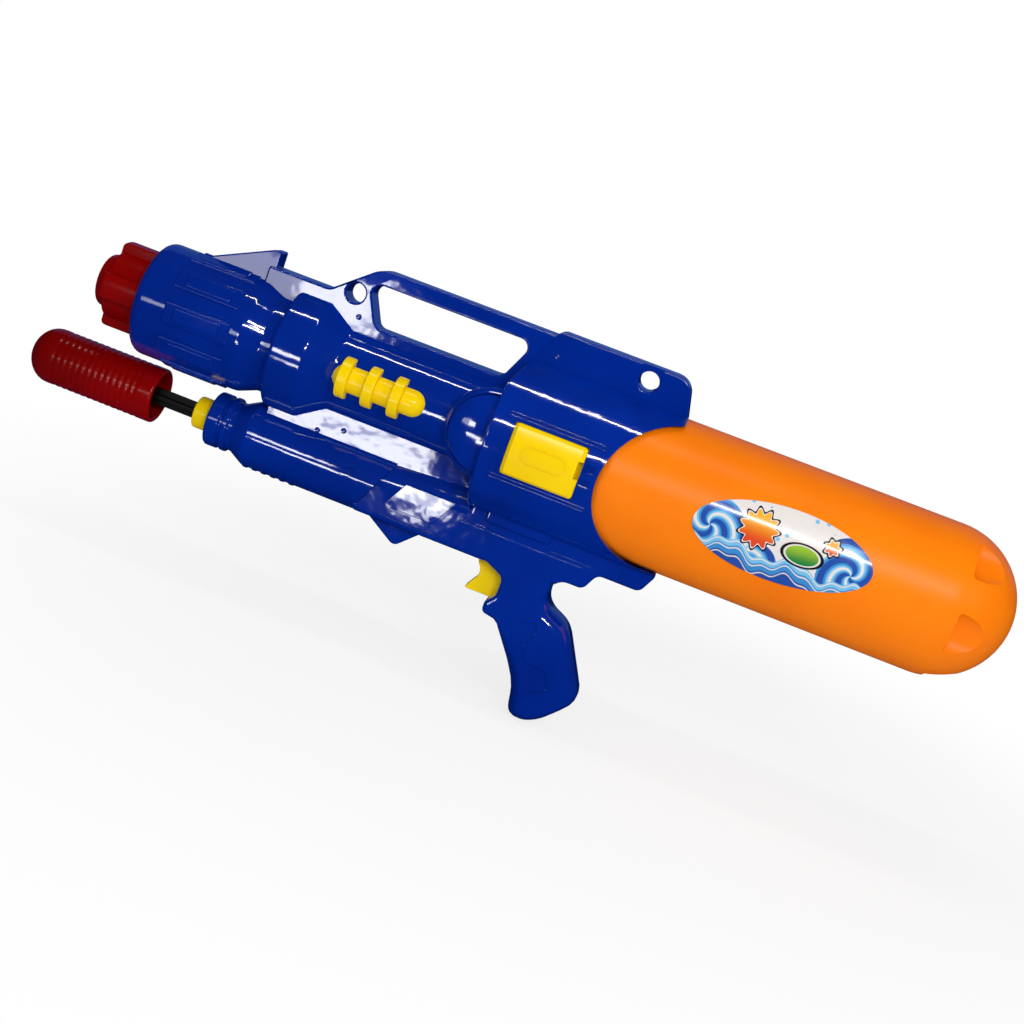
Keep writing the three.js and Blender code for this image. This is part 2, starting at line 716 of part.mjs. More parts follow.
function housingForm() {
  const drum = turned(
    [
      [housingX - OVER, 0],
      [housingX - OVER, housingR],
      [skirtRearX + OVER, housingR],
      [skirtRearX + OVER, 0],
    ],
    FINE,
  );
  const side = plate(housingCorners, housingR + OVER);
  const fin = plate(housingCorners, FIN_HALF, HANDLE_EDGE);
  const mouth = rodY(-housingR - OVER, housingR + OVER, MOUTH_R, mouthX, 0, FINE);
  const upper = block(housingX, finRearX, -FIN_HALF, FIN_HALF, 0, FIN_TOP);
  return cut(join(drum.intersect(side), fin.intersect(upper)), mouth);
}

function housingCavity() {
  const r = TANK_R + TANK_CLEAR;
  const drawnIn = inset(housingCorners, WALL);
  const open = skirtRearX + 2 * OVER;
  const drum = turned(
    [
      [housingX, 0],
      [housingX, r],
      [open, r],
      [open, 0],
    ],
    FINE,
  );
  const rear = block(mouthX - MOUTH_R, open, -housingR, housingR, -housingR, housingR);
  const fin = plate(drawnIn, FIN_HALF - WALL);
  const upper = block(housingX, finRearX, -FIN_HALF, FIN_HALF, 0, FIN_TOP);
  const [x, z] = strapRear;
  const hole = rodY(-FIN_HALF, FIN_HALF, STRAP_HOLE_R + WALL, x, z, ROUND);
  const inside = drum.intersect(join(plate(drawnIn, housingR), rear));
  return join(inside, cut(fin.intersect(upper), hole));
}

function housingBeads() {
  const beads = [];
  const y = Math.sqrt(housingR ** 2 - BEAD_HEIGHT ** 2);
  const x = housingX + BEAD_LEAD;
  for (const side of [-1, 1]) {
    for (const height of [-BEAD_HEIGHT, BEAD_HEIGHT]) {
      const inner = side * (y - WALL / 2);
      const outer = side * (y + BEAD_RISE);
      const low = Math.min(inner, outer);
      const high = Math.max(inner, outer);
      beads.push(block(x, x + BEAD_LENGTH, low, high, height - BEAD_WIDTH / 2, height + BEAD_WIDTH / 2));
    }
  }
  return join(...beads);
}

// A domed drum through both sides where the barrel meets the housing.
function bulgeForm(wall) {
  const r = BULGE_R - wall;
  const points = [];
  for (let i = 0; i <= 2 * BULGE_STEPS + 1; i++) {
    const side = i > BULGE_STEPS ? 1 : -1;
    const step = side < 0 ? i : 2 * BULGE_STEPS + 1 - i;
    const turn = (Math.PI / 2) * (1 - step / BULGE_STEPS);
    const y = BULGE_EDGE + (BULGE_REACH - BULGE_EDGE) * Math.sin(turn) - wall;
    points.push(new THREE.Vector2(r * Math.cos(turn), side * y));
  }
  const geometry = new THREE.LatheGeometry(points, ROUND);
  geometry.translate(housingX, 0, 0);
  return solid(geometry);
}

function tubeForm(wall) {
  const ringRearX = tubeFrontX + RING_WIDTH;
  const secondX = ringRearX + RING_GROOVE;
  const secondRearX = secondX + SECOND_RING;
  const swellX = secondRearX + RING_GROOVE;
  const lean = (TUBE_R + OVER) * Math.tan(THREE.MathUtils.degToRad(TUBE_SLANT));
  const skin = [
    [tubeFrontX, 0],
    [tubeFrontX, RING_R],
    [ringRearX, RING_R],
    [ringRearX, RING_GROOVE_R],
    [secondX, RING_GROOVE_R],
    [secondX, RING_R],
    [secondRearX, RING_R],
    [secondRearX, RING_GROOVE_R],
    [swellX, RING_GROOVE_R],
  ];
  const inside = [
    [swellX, 0],
    [swellX, RING_GROOVE_R - wall],
  ];
  const rear = [
    [swellX + SWELL_LENGTH, TUBE_R - wall],
    [tubeRearX + lean, TUBE_R - wall],
    [tubeRearX + lean, 0],
  ];
  const whole = turned([...(wall > 0 ? inside : skin), ...rear], ROUND, pumpZ);
  const slant = [
    [tubeFrontX - OVER, pumpZ + TUBE_R + OVER],
    [tubeFrontX - OVER, pumpZ - TUBE_R - OVER],
    [tubeRearX - lean, pumpZ - TUBE_R - OVER],
    [tubeRearX + lean, pumpZ + TUBE_R + OVER],
  ];
  return whole.intersect(plate(inset(slant, wall), TUBE_R + OVER));
}

function tubeRibs() {
  const start = tubeFrontX + RING_WIDTH + SECOND_RING + 2 * RING_GROOVE + SWELL_LENGTH;
  const ribs = [];
  for (let i = 0; i < TUBE_RIBS; i++) {
    const x = start + i * TUBE_RIB_PITCH;
    const r = TUBE_R + TUBE_RIB_RISE;
    const inner = TUBE_R - WALL / 2;
    const profile = [
      [x, inner],
      [x, r],
      [x + TUBE_RIB_WIDTH, r],
      [x + TUBE_RIB_WIDTH, inner],
      [x, inner],
    ];
    const rear = x + TUBE_RIB_WIDTH + GAP;
    const under = block(x - GAP, rear, -TUBE_RIB_HALF, TUBE_RIB_HALF, pumpZ - 2 * TUBE_R, pumpZ);
    ribs.push(turned(profile, ROUND, pumpZ).intersect(under));
  }
  return join(...ribs);
}

function webForm(wall) {
  const top = -BARREL_R + 4 * WALL;
  const corners = [
    [drumFrontX + OVER, top],
    [drumFrontX + OVER, pumpZ],
    [housingX + OVER, pumpZ],
    [housingX + OVER, top],
  ];
  return plate(inset(corners, wall), WEB_HALF - wall);
}

// A point of the leaning grip: back by a depth, down by a drop.
function gripPoint(depth, drop, round) {
  const rake = THREE.MathUtils.degToRad(GRIP_RAKE);
  const x = GRIP_X + depth * Math.cos(rake) + drop * Math.sin(rake);
  const z = GRIP_Z + depth * Math.sin(rake) - drop * Math.cos(rake);
  return [x, z, round];
}

function frameForm(wall) {
  const slant = Math.tan(THREE.MathUtils.degToRad(TUBE_SLANT));
  const lean = (FRAME_BROW - FRAME_FLOOR) * slant;
  const frontX = tubeRearX + (FRAME_BROW - pumpZ) * slant - FRAME_LAP;
  const stepX = housingX + HOUSING_WALL;
  const corners = [
    [frontX, FRAME_BROW],
    [frontX - lean, FRAME_FLOOR, FRAME_ROUND],
    [-FINGER_ROUND / 2, FRAME_FLOOR, FRAME_ROUND],
    [FINGER_CUT, FRAME_FLOOR - FINGER_ROUND, FINGER_ROUND],
    [FINGER_CUT, NUB_Z + FINGER_ROUND, FINGER_ROUND],
    [NUB_X, NUB_Z, NUB_ROUND],
    [NUB_X, NUB_Z - NUB_HEIGHT, NUB_ROUND],
    gripPoint(-NUB_ROUND, -NUB_ROUND, 2 * NUB_ROUND),
    gripPoint(GRIP_TOE / 3, GRIP_WAIST, GRIP_WAIST),
    gripPoint(-GRIP_TOE, GRIP_DROP, GRIP_TOE_ROUND),
    gripPoint(GRIP_DEPTH / 2, GRIP_DROP, 2 * GRIP_TOE_ROUND),
    gripPoint(GRIP_DEPTH + GRIP_TOE / 3, GRIP_HEEL, GRIP_HEEL_ROUND),
    gripPoint(GRIP_DEPTH, GRIP_TOE, HAND_ROUND),
    [HAND_X, BACK_LOBE_Z - HAND_HEIGHT - FRAME_EDGE, HAND_ROUND],
    [HAND_X, BACK_LOBE_Z, HAND_ROUND],
    [BACK_LOBE, BACK_LOBE_Z, BACK_LOBE_RUN],
    [BACK_LOBE + BACK_LOBE_RUN, SKIRT_FLOOR, BACK_LOBE_RUN],
    [skirtRearX - SKIRT_ROUND, SKIRT_FLOOR, SKIRT_ROUND],
    [skirtRearX, SKIRT_FLOOR + 2 * SKIRT_ROUND, SKIRT_ROUND],
    [skirtRearX, FRAME_TOP],
    [stepX, FRAME_TOP],
    [stepX, FRAME_BROW + FRAME_BROW_RISE],
  ];
  return plate(inset(corners, wall), FRAME_HALF - wall, wall > 0 ? 0 : FRAME_EDGE);
}

function lugForm() {
  const frontX = tubeRearX - LUG_LEAD;
  const returnX = frontX + LUG_RUN + LUG_RETURN;
  const corners = [
    [frontX, FRAME_FLOOR + LUG_TAIL],
    [frontX, FRAME_FLOOR + LUG_ROUND, LUG_ROUND],
    [frontX + LUG_RUN, LUG_TIP, LUG_TIP_ROUND],
    [returnX, FRAME_FLOOR, 2 * LUG_ROUND],
    [returnX + LUG_TAIL, FRAME_FLOOR],
    [returnX + LUG_TAIL, FRAME_FLOOR + LUG_TAIL],
  ];
  return plate(corners, LUG_HALF);
}

function sidePanels() {
  const low = FRAME_TOP - PLATE_DROP - PLATE_HEIGHT;
  const panel = [
    [-PLATE_LEAD, low],
    [-PLATE_LEAD + PLATE_SLANT, low + PLATE_HEIGHT],
    [-PLATE_LEAD + PLATE_SLANT - PLATE_LENGTH, low + PLATE_HEIGHT],
    [-PLATE_LEAD - PLATE_LENGTH, low],
  ];
  const half = FRAME_HALF + BOX_RISE;
  const box = block(0, BOX_LENGTH, -half, half, FRAME_TOP - BOX_HEIGHT, FRAME_TOP);
  return join(plate(panel, FRAME_HALF + PLATE_RISE), box);
}

// Ribs, bosses and bulkhead that fill the inside before they are bored
function disc(x, r, z, sides) {
  return turned(
    [
      [x, 0],
      [x, r],
      [x + RIB, r],
      [x + RIB, 0],
    ],
    sides,
    z,
  );
}

const stemX = nozzleRearX + GAP + FLANGE_WIDTH;
const stemRibs = [stemX + STEM_SADDLE, stemX + STEM_LENGTH - STEM_SADDLE];
const cylinderRibs = [tubeFrontX + FRONT_SADDLE, tubeRearX - MIDDLE_SADDLE, tubeRearX - REAR_SADDLE];
const springWallX = triggerSpringX + TRIGGER_SPRING_LENGTH + GAP;

function innerRibs() {
  const stem = stemRibs.map((x) => disc(x, COLLAR_R - WALL / 2, 0, FINE));
  const pump = cylinderRibs.map((x) => disc(x, TUBE_R - WALL / 2, pumpZ, ROUND));
  const saddles = VALVE_SADDLES.map((lead) =>
    block(-lead - RIB, -lead, -FRAME_HALF, FRAME_HALF, valveZ - 2 * VALVE_R, valveZ + VALVE_R),
  );
  const bosses = SCREWS.map(([, x, z]) => rodY(-housingR, housingR, bossR, x, z, SCREW_SIDES));
  const spring = block(
    springWallX,
    springWallX + RIB,
    -FRAME_HALF,
    FRAME_HALF,
    TRIGGER_SPRING_Z - 2 * TRIGGER_SPRING_R,
    TRIGGER_SPRING_Z + 2 * TRIGGER_SPRING_R,
  );
  const pin = rodY(-FRAME_HALF, FRAME_HALF, PIN_BOSS_R, 0, PIN_Z, ROUND);
  const bulkhead = disc(socketX + BULKHEAD, housingR - WALL / 2, 0, FINE);
  return join(...stem, ...pump, ...saddles, ...bosses, spring, pin, bulkhead);
}

// Room for every piece that the casing holds
function innerBores() {
  const room = TANK_R + TANK_CLEAR - GAP / 2;
  const tankRoom = turned(
    [
      [tankX + TANK_NECK, 0],
      [tankX + TANK_NECK, room],
      [skirtRearX + OVER, room],
      [skirtRearX + OVER, 0],
    ],
    FINE,
  );
  const mouth = collarFrontX + 2 * COLLAR_RIM;
  const triggerHalf = TRIGGER_HALF + TRIGGER_SIDE;
  const slot = [
    [TRIGGER_TIP_X - OVER, NUB_Z],
    [TRIGGER_SWING, NUB_Z],
    [TRIGGER_SWING, PIN_Z + TRIGGER_ARM + OVER],
    [-VALVE_LEAD, PIN_Z + TRIGGER_ARM + OVER],
    [TRIGGER_TIP_X - OVER, TRIGGER_NUB_Z],
  ];
  return join(
    tankRoom,
    rodX(collarFrontX - OVER, mouth, NOZZLE_RIB_R + NOZZLE_MOUTH, 0, 0, FINE),
    rodX(nozzleRearX, neckFrontX, STEM_R + GAP, 0, 0, ROUND),
    rodX(tubeFrontX - OVER, cylinderX, GLAND_R + GAP, 0, pumpZ, ROUND),
    rodX(tubeFrontX + TUBE_LIP, checkX, CYLINDER_R + GAP, 0, pumpZ, ROUND),
    rodX(valveFrontX - GAP, valveRearX + OVER, VALVE_R + GAP, 0, valveZ, ROUND),
    rodX(socketX - GAP, tankX + TANK_NECK, socketR + GAP, 0, 0, ROUND),
    rodY(-PIN_HALF - GAP, PIN_HALF + GAP, PIN_R + GAP, 0, PIN_Z),
    plate(slot, triggerHalf),
  );
}

function sideWindows() {
  const cuts = [];
  const y0 = coverInnerY - COVER_LIP_DEPTH - GAP;
  for (const side of [-1, 1]) {
    const inner = side * y0;
    const outer = side * (housingR + OVER);
    const seat = side * (coverInnerY + GAP);
    const [low, high] = [Math.min(inner, outer), Math.max(inner, outer)];
    const [lipLow, lipHigh] = [Math.min(inner, seat), Math.max(inner, seat)];
    const half = COVER_HEIGHT / 2 + GAP;
    const lip = COVER_LIP + GAP;
    cuts.push(block(coverX - GAP, coverX + COVER_LENGTH + GAP, low, high, -half, half));
    cuts.push(
      block(coverX - lip, coverX + COVER_LENGTH + lip, lipLow, lipHigh, -half - COVER_LIP, half + COVER_LIP),
    );
    for (const x of trimPegs) {
      const from = side * (BARREL_R - TRIM_PEG);
      const to = side * (BARREL_R + TRIM_R);
      cuts.push(rodY(Math.min(from, to), Math.max(from, to), TRIM_PEG_R + GAP, x, 0));
    }
  }
  return join(...cuts);
}

const coverSpread = COVER_HEIGHT / 2 + COVER_LIP;
const coverInnerY = Math.sqrt((TANK_R + TANK_CLEAR) ** 2 - coverSpread ** 2) - GAP;
const trimPegs = [trimX, trimX + (TRIM_RINGS - 1) * TRIM_RING_PITCH];

function casing() {
  const skin = join(
    barrelForm(0),
    collarPads(),
    sightForm(0),
    handleForm(0),
    housingForm(),
    housingBeads(),
    bulgeForm(0),
    tubeForm(0),
    tubeRibs(),
    webForm(0),
    frameForm(0),
    lugForm(),
    sidePanels(),
  );
  const cavity = join(
    barrelForm(WALL),
    sightForm(WALL),
    handleForm(WALL),
    housingCavity(),
    bulgeForm(WALL),
    tubeForm(WALL),
    webForm(WALL),
    frameForm(WALL),
  );
  const opening = plate(openingCorners, FIN_HALF + OVER);
  const [frontX, frontZ] = strapFront;
  const [rearX, rearZ] = strapRear;
  const strapHoles = join(
    rodY(-housingR, housingR, STRAP_HOLE_R, frontX, frontZ, ROUND),
    rodY(-housingR, housingR, STRAP_HOLE_R, rearX, rearZ, ROUND),
  );
  const outer = cut(skin, opening, strapHoles);
  const ribs = innerRibs().intersect(outer);
  return cut(join(outer.subtract(cavity), ribs), innerBores(), sideWindows(), opening, strapHoles);
}

function casingHalves() {
  const whole = casing();
  const far = 2 * housingR;
  const reach = TANK_LENGTH;
  const left = block(-2 * reach, reach, -far, -PARTING / 2, -reach, reach);
  const right = block(-2 * reach, reach, PARTING / 2, far, -reach, reach);
  const pilots = SCREWS.map(([, x, z]) => rodY(-SCREW_DEPTH - GAP, OVER, SCREW_R + GAP, x, z, SCREW_SIDES));
  const passages = SCREWS.map(([, x, z]) => rodY(-OVER, far, SCREW_R + GAP, x, z, SCREW_SIDES));
  const recesses = SCREWS.map(([, x, z]) => rodY(SCREW_FLOOR, far, recessR, x, z, SCREW_SIDES));
  return {
    left: cut(whole.intersect(left), ...pilots),
    right: cut(whole.intersect(right), ...passages, ...recesses),
  };
}

// Front end

function nozzle() {
  const shoulder = nozzleFrontX + NOZZLE_BOSS;
  const body = turned(
    [
      [nozzleFrontX, 0],
      [nozzleFrontX, NOZZLE_BOSS_R - NOZZLE_ROUND],
      [nozzleFrontX + NOZZLE_ROUND, NOZZLE_BOSS_R],
      [shoulder, NOZZLE_BOSS_R],
      [shoulder + NOZZLE_ROUND / 2, NOZZLE_R],
      [nozzleRearX, NOZZLE_R],
      [nozzleRearX, 0],
    ],
    FINE,
  );
  const envelope = turned(
    [
      [shoulder, 0],
      [shoulder, NOZZLE_RIB_R - NOZZLE_ROUND / 2],
      [shoulder + NOZZLE_ROUND / 2, NOZZLE_RIB_R],
      [nozzleRearX, NOZZLE_RIB_R],
      [nozzleRearX, 0],
    ],
    FINE,
  );
  const ribs = [];
  for (let i = 0; i < NOZZLE_RIBS; i++) {
    const geometry = new THREE.BoxGeometry(nozzleRearX - shoulder, NOZZLE_RIB_WIDTH, NOZZLE_RIB_R);
    geometry.translate((nozzleRearX + shoulder) / 2, 0, NOZZLE_RIB_R / 2 + NOZZLE_R / 2);
    geometry.rotateX((2 * Math.PI * i) / NOZZLE_RIBS);
    ribs.push(solid(geometry));
  }
  const jet = rodX(nozzleFrontX - OVER, nozzleRearX, JET_R, 0, 0, HOSE_SIDES);
  const socket = rodX(nozzleFrontX + JET_LENGTH, nozzleRearX + OVER, SPIGOT_R + RUNNING, 0, 0, ROUND);
  return cut(join(body, join(...ribs).intersect(envelope)), jet, socket);
}

const sealX = nozzleRearX + GAP - SPIGOT_LENGTH + SEAL_SETBACK;
const sealR = SPIGOT_R - SEAL_WIRE / 2 + GAP / 2;

function nozzleTube() {
  const flangeX = nozzleRearX + GAP;
  const frontX = flangeX - SPIGOT_LENGTH;
  const barbX = stemX + STEM_LENGTH;
  const groove = SEAL_WIRE / 2 + GAP;
  const floor = sealR - groove;
  return turned([
    [frontX, BARB_BORE_R],
    [frontX, SPIGOT_R],
    [sealX - groove, SPIGOT_R],
    [sealX - groove, floor],
    [sealX + groove, floor],
    [sealX + groove, SPIGOT_R],
    [flangeX, SPIGOT_R],
    [flangeX, FLANGE_R],
    [stemX, FLANGE_R],
    [stemX, STEM_R],
    [barbX, STEM_R],
    [barbX, BARB_R],
    [barbX + BARB_LENGTH, BARB_R],
    [barbX + BARB_LENGTH, BARB_BORE_R],
    [frontX, BARB_BORE_R],
  ]);
}

function barrelTrim(side) {
  const noseX = trimX - TRIM_LEAD;
  const tailX = trimX + (TRIM_RINGS - 1) * TRIM_RING_PITCH + TRIM_TAIL;
  const rod = turned(
    [
      ...quarter(noseX + TRIM_R, TRIM_R, TRIM_R, TRIM_STEPS, true),
      ...quarter(tailX - TRIM_R, -TRIM_R, TRIM_R, TRIM_STEPS, false),
    ],
    ROUND,
    0,
    side * trimY,
  );
  const rings = [];
  for (let i = 0; i < TRIM_RINGS; i++) {
    const x = trimX + i * TRIM_RING_PITCH;
    rings.push(rodX(x - TRIM_RING_WIDTH / 2, x + TRIM_RING_WIDTH / 2, TRIM_RING_R, side * trimY, 0, ROUND));
  }
  const barrel = rodX(noseX - OVER, tailX + OVER, BARREL_R + GAP, 0, 0, FINE);
  const pegs = trimPegs.map((x) => {
    const from = side * (BARREL_R - TRIM_PEG + GAP);
    const to = side * (BARREL_R + TRIM_R / 2);
    return rodY(Math.min(from, to), Math.max(from, to), TRIM_PEG_R, x, 0);
  });
  return join(cut(join(rod, ...rings), barrel), ...pegs);
}

// A bevelled cover in the housing's side window, with an inner lip behind the wall.
function portCover(side) {
  const rearX = coverX + COVER_LENGTH;
  const half = COVER_HEIGHT / 2;
  const corners = [
    [coverX, -half],
    [rearX, -half],
    [rearX, half],
    [coverX, half],
  ];
  const crown = housingR + COVER_RISE;
  const edge = Math.min(COVER_EDGE, COVER_RISE);
  const face = plate(corners, crown, edge).intersect(rodX(coverX, rearX, crown, 0, 0, FINE));
  const inner = side * (coverInnerY - COVER_LIP_DEPTH);
  const outer = side * (crown + OVER);
  const seat = side * coverInnerY;
  const body = block(coverX, rearX, Math.min(inner, outer), Math.max(inner, outer), -half, half);
  const lip = block(
    coverX - COVER_LIP,
    rearX + COVER_LIP,
    Math.min(inner, seat),
    Math.max(inner, seat),
    -half - COVER_LIP,
    half + COVER_LIP,
  );
  return join(face.intersect(body), lip);
}

// Pump

function pumpGrip() {
  const frontX = pumpRimX - PUMP_GRIP_LENGTH;
  const cavityR = PUMP_GRIP_R - PUMP_GRIP_WALL;
  const socketX0 = frontX + 2 * PUMP_GRIP_WALL;
  const socketRim = rodRoom + ROD_SOCKET_WALL;
  return turned(
    [
      ...quarter(frontX + PUMP_GRIP_DOME, PUMP_GRIP_DOME, PUMP_GRIP_R, DOME_STEPS, true),
      [pumpRimX - GLAND_ROUND, PUMP_GRIP_R],
      [pumpRimX, PUMP_GRIP_R - GLAND_ROUND],
      [pumpRimX, cavityR],
      [frontX + PUMP_GRIP_DOME, cavityR],
      [socketX0, socketRim],
      [socketX0 + ROD_SOCKET, socketRim],
      [socketX0 + ROD_SOCKET, rodRoom],
      [socketX0, rodRoom],
      [socketX0, 0],
    ],
    ROUND,
    pumpZ,
  );
}

function pumpRod() {
  const frontX = pumpRimX - PUMP_GRIP_LENGTH + 2 * PUMP_GRIP_WALL + GAP;
  const rearX = pistonRearX - PISTON_LENGTH + PISTON_SOCKET - GAP;
  const wide = ROD_WIDTH / 2;
  const thin = ROD_WEB / 2;
  return join(
    block(frontX, rearX, -wide, wide, pumpZ - thin, pumpZ + thin),
    block(frontX, rearX, -thin, thin, pumpZ - wide, pumpZ + wide),
  );
}

const pistonR = cylinderBore - RUNNING;
const pistonRingX = pistonRearX - PISTON_LENGTH / 3;
const pistonRingR = pistonR - RING_WIRE / 2 + GAP / 2;

function piston() {
  const frontX = pistonRearX - PISTON_LENGTH;
  const groove = RING_WIRE / 2 + GAP;
  const floor = pistonRingR - groove;
  return turned(
    [
      [frontX + PISTON_SOCKET, 0],
      [frontX + PISTON_SOCKET, rodRoom],
      [frontX, rodRoom],
      [frontX, pistonR],
      [pistonRingX - groove, pistonR],
      [pistonRingX - groove, floor],
      [pistonRingX + groove, floor],
      [pistonRingX + groove, pistonR],
      [pistonRearX, pistonR],
      [pistonRearX, 0],
    ],
    ROUND,
    pumpZ,
  );
}

function pumpCylinder() {
  const endX = cylinderRearX - CYLINDER_END;
  return turned(
    [
      [cylinderX, cylinderBore],
      [cylinderX, CYLINDER_R],
      [cylinderRearX, CYLINDER_R],
      [cylinderRearX, PORT_R],
      [endX, PORT_R],
      [endX, cylinderBore],
      [cylinderX, cylinderBore],
    ],
    ROUND,
    pumpZ,
  );
}

function glandCap() {
  const frontX = tubeFrontX - GLAND_REACH;
  const spigot = cylinderBore - GAP;
  return turned(
    [
      [frontX, rodRoom],
      [frontX, GLAND_R - GLAND_ROUND],
      [frontX + GLAND_ROUND, GLAND_R],
      [cylinderX, GLAND_R],
      [cylinderX, spigot],
      [cylinderX + GLAND_SPIGOT, spigot],
      [cylinderX + GLAND_SPIGOT, rodRoom],
      [frontX, rodRoom],
    ],
    ROUND,
    pumpZ,
  );
}

const checkSeatX = checkX + CHECK_SEAT;
const checkBallX = checkSeatX + Math.sqrt(CHECK_BALL_R ** 2 - PORT_R ** 2) + GAP;
const checkChamberX = checkSeatX + CHECK_CHAMBER;

function checkValve() {
  const body = turned(
    [
      [checkX, PORT_R],
      [checkX, CHECK_R],
      [checkX + CHECK_LENGTH, CHECK_R],
      [checkX + CHECK_LENGTH, 0],
      [checkChamberX, 0],
      [checkChamberX, CHECK_CHAMBER_R],
      [checkSeatX, CHECK_CHAMBER_R],
      [checkSeatX, PORT_R],
      [checkX, PORT_R],
    ],
    ROUND,
    pumpZ,
  );
  return barbUp(body, checkOutletX, pumpZ, CHECK_R);
}

function checkBall() {
  const geometry = new THREE.SphereGeometry(CHECK_BALL_R, SMALL, SMALL / 2);
  geometry.translate(checkBallX, 0, pumpZ);
  return solid(geometry);
}

// Tank

function tankProfile(wall) {
  const neckX = tankX + TANK_NECK;
  const neckR = TANK_NECK_R - (wall > 0 ? TANK_NECK_WALL : 0);
  const startX = wall > 0 ? tankX - OVER : tankX;
  return [
    [startX, 0],
    [startX, neckR],
    [neckX + wall, neckR],
    [tankShoulderX - TANK_SHOULDER_ROUND, TANK_R - TANK_SHOULDER_ROUND - wall],
    [tankShoulderX, TANK_R - wall],
    ...quarter(domeX, wall - TANK_R, TANK_R - wall, TANK_DOME_STEPS, false),
  ];
}

// Pockets round the dome that give the fingers a hold; each floor runs out through the dome's end.
function tankNotches(wall) {
  const startX = domeX + NOTCH_SETBACK;
  const corners = [
    [startX, -NOTCH_WIDTH / 2],
    [startX + TANK_R, -NOTCH_WIDTH / 2],
    [startX + TANK_R, NOTCH_WIDTH / 2],
    [startX, NOTCH_WIDTH / 2],
  ];
  const first = THREE.MathUtils.degToRad(NOTCH_TURN);
  const notches = [];
  for (let i = 0; i < NOTCHES; i++) {
    const shape = outline(inset(corners, -wall));
    const geometry = new THREE.ExtrudeGeometry(shape, { depth: TANK_R, bevelEnabled: false });
    geometry.translate(0, 0, NOTCH_FLOOR - wall);
    geometry.rotateX(first + (2 * Math.PI * i) / NOTCHES);
    notches.push(solid(geometry));
  }
  return join(...notches);
}

function tank() {
  const outer = cut(turned(tankProfile(0), FINE), tankNotches(0));
  const inner = cut(turned(tankProfile(TANK_WALL), FINE), tankNotches(TANK_WALL));
  return outer.subtract(inner);
}

function tankLabel() {
  const shape = new THREE.Shape();
  const middleX = tankShoulderX + LABEL_SETBACK;
  const tilt = THREE.MathUtils.degToRad(LABEL_TILT);
  shape.absellipse(middleX, LABEL_RISE, LABEL_LENGTH / 2, LABEL_HEIGHT / 2, 0, 2 * Math.PI, false, tilt);
  const settings = { depth: 2 * TANK_R, bevelEnabled: false, curveSegments: LABEL_STEPS };
  const geometry = new THREE.ExtrudeGeometry(shape, settings);
  geometry.rotateX(Math.PI / 2);
  const inner = TANK_R + LABEL_GLUE;
  const outer = inner + LABEL_SKIN;
  const x0 = middleX - LABEL_LENGTH;
  const x1 = middleX + LABEL_LENGTH;
  const skin = turned(
    [
      [x0, inner],
      [x0, outer],
      [x1, outer],
      [x1, inner],
      [x0, inner],
    ],
    FINE,
  );
  return skin.intersect(solid(geometry));
}

function tankSocket() {
  const endX = socketX + SOCKET_END;
  const rearX = socketX + SOCKET_LENGTH;
  const cup = turned(
    [
      [socketX, 0],
      [socketX, socketR],
      [rearX, socketR],
      [rearX, socketBore],
      [endX, socketBore],
      [endX, 0],
    ],
    ROUND,
  );
  const air = rodX(socketX - BARB_LENGTH, socketX + WALL, BARB_R, 0, SOCKET_PORT);
  const water = rodX(socketX - BARB_LENGTH, endX + BARB_LENGTH, BARB_R, 0, -SOCKET_PORT);
  const bores = [SOCKET_PORT, -SOCKET_PORT].map((z) =>
    rodX(socketX - 2 * BARB_LENGTH, endX + 2 * BARB_LENGTH, BARB_BORE_R, 0, z, HOSE_SIDES),
  );
  return cut(join(cup, air, water), ...bores);
}

function tankGasket() {
  const x = socketX + SOCKET_END + GAP;
  return turned([
    [x, TANK_NECK_R - GASKET_RIM],
    [x, TANK_NECK_R],
    [x + GASKET_WIDTH, TANK_NECK_R],
    [x + GASKET_WIDTH, TANK_NECK_R - GASKET_RIM],
    [x, TANK_NECK_R - GASKET_RIM],
  ]);
}

// Hoses

function dipTube() {
  const floor = -(TANK_R - TANK_WALL - HOSE_R - DIP_CLEAR);
  const neckX = tankX + TANK_NECK;
  return hose([
    [socketX + SOCKET_END + GAP, 0, -SOCKET_PORT],
    [socketX + SOCKET_END + BARB_LENGTH, 0, -SOCKET_PORT],
    [neckX, 0, -SOCKET_PORT - GAP],
    [neckX + TANK_SHOULDER, 0, -SOCKET_PORT * 2],
    [neckX + 2 * TANK_SHOULDER, 0, floor * DIP_SLOPE],
    [neckX + DIP_LANDING, 0, floor],
    [domeX - DIP_MIDDLE, 0, floor],
    [domeX - DIP_END, 0, floor],
  ]);
}

function airHose() {
  const foot = pumpZ + CHECK_R + GAP;
  const end = socketX - GAP;
  return hose([
    [checkOutletX, 0, foot],
    [checkOutletX, 0, foot + BARB_LENGTH / 2],
    [checkOutletX, 0, foot + BARB_LENGTH],
    [checkOutletX, AIR_SIDE / 2, foot + AIR_TURN],
    [checkOutletX + AIR_LEAN, AIR_SIDE, foot + AIR_TOP],
    [(checkOutletX + end) / 2 - AIR_LEAD, AIR_SIDE, AIR_CREST],
    [end - 2 * BARB_LENGTH, AIR_SIDE / 3, SOCKET_PORT],
    [end - BARB_LENGTH, 0, SOCKET_PORT],
    [end, 0, SOCKET_PORT],
  ]);
}

function supplyHose() {
  const foot = valveZ + VALVE_R + GAP;
  const end = socketX - GAP;
  return hose([
    [end, 0, -SOCKET_PORT],
    [end - BARB_LENGTH, 0, -SOCKET_PORT],
    [(end - BARB_LENGTH - VALVE_INLET) / 2 - SUPPLY_LEAD, 0, -SOCKET_PORT - SUPPLY_SAG],
    [-VALVE_INLET, 0, (foot + BARB_LENGTH - SOCKET_PORT) / 2],
    [-VALVE_INLET, 0, foot + BARB_LENGTH],
    [-VALVE_INLET, 0, foot],
  ]);
}

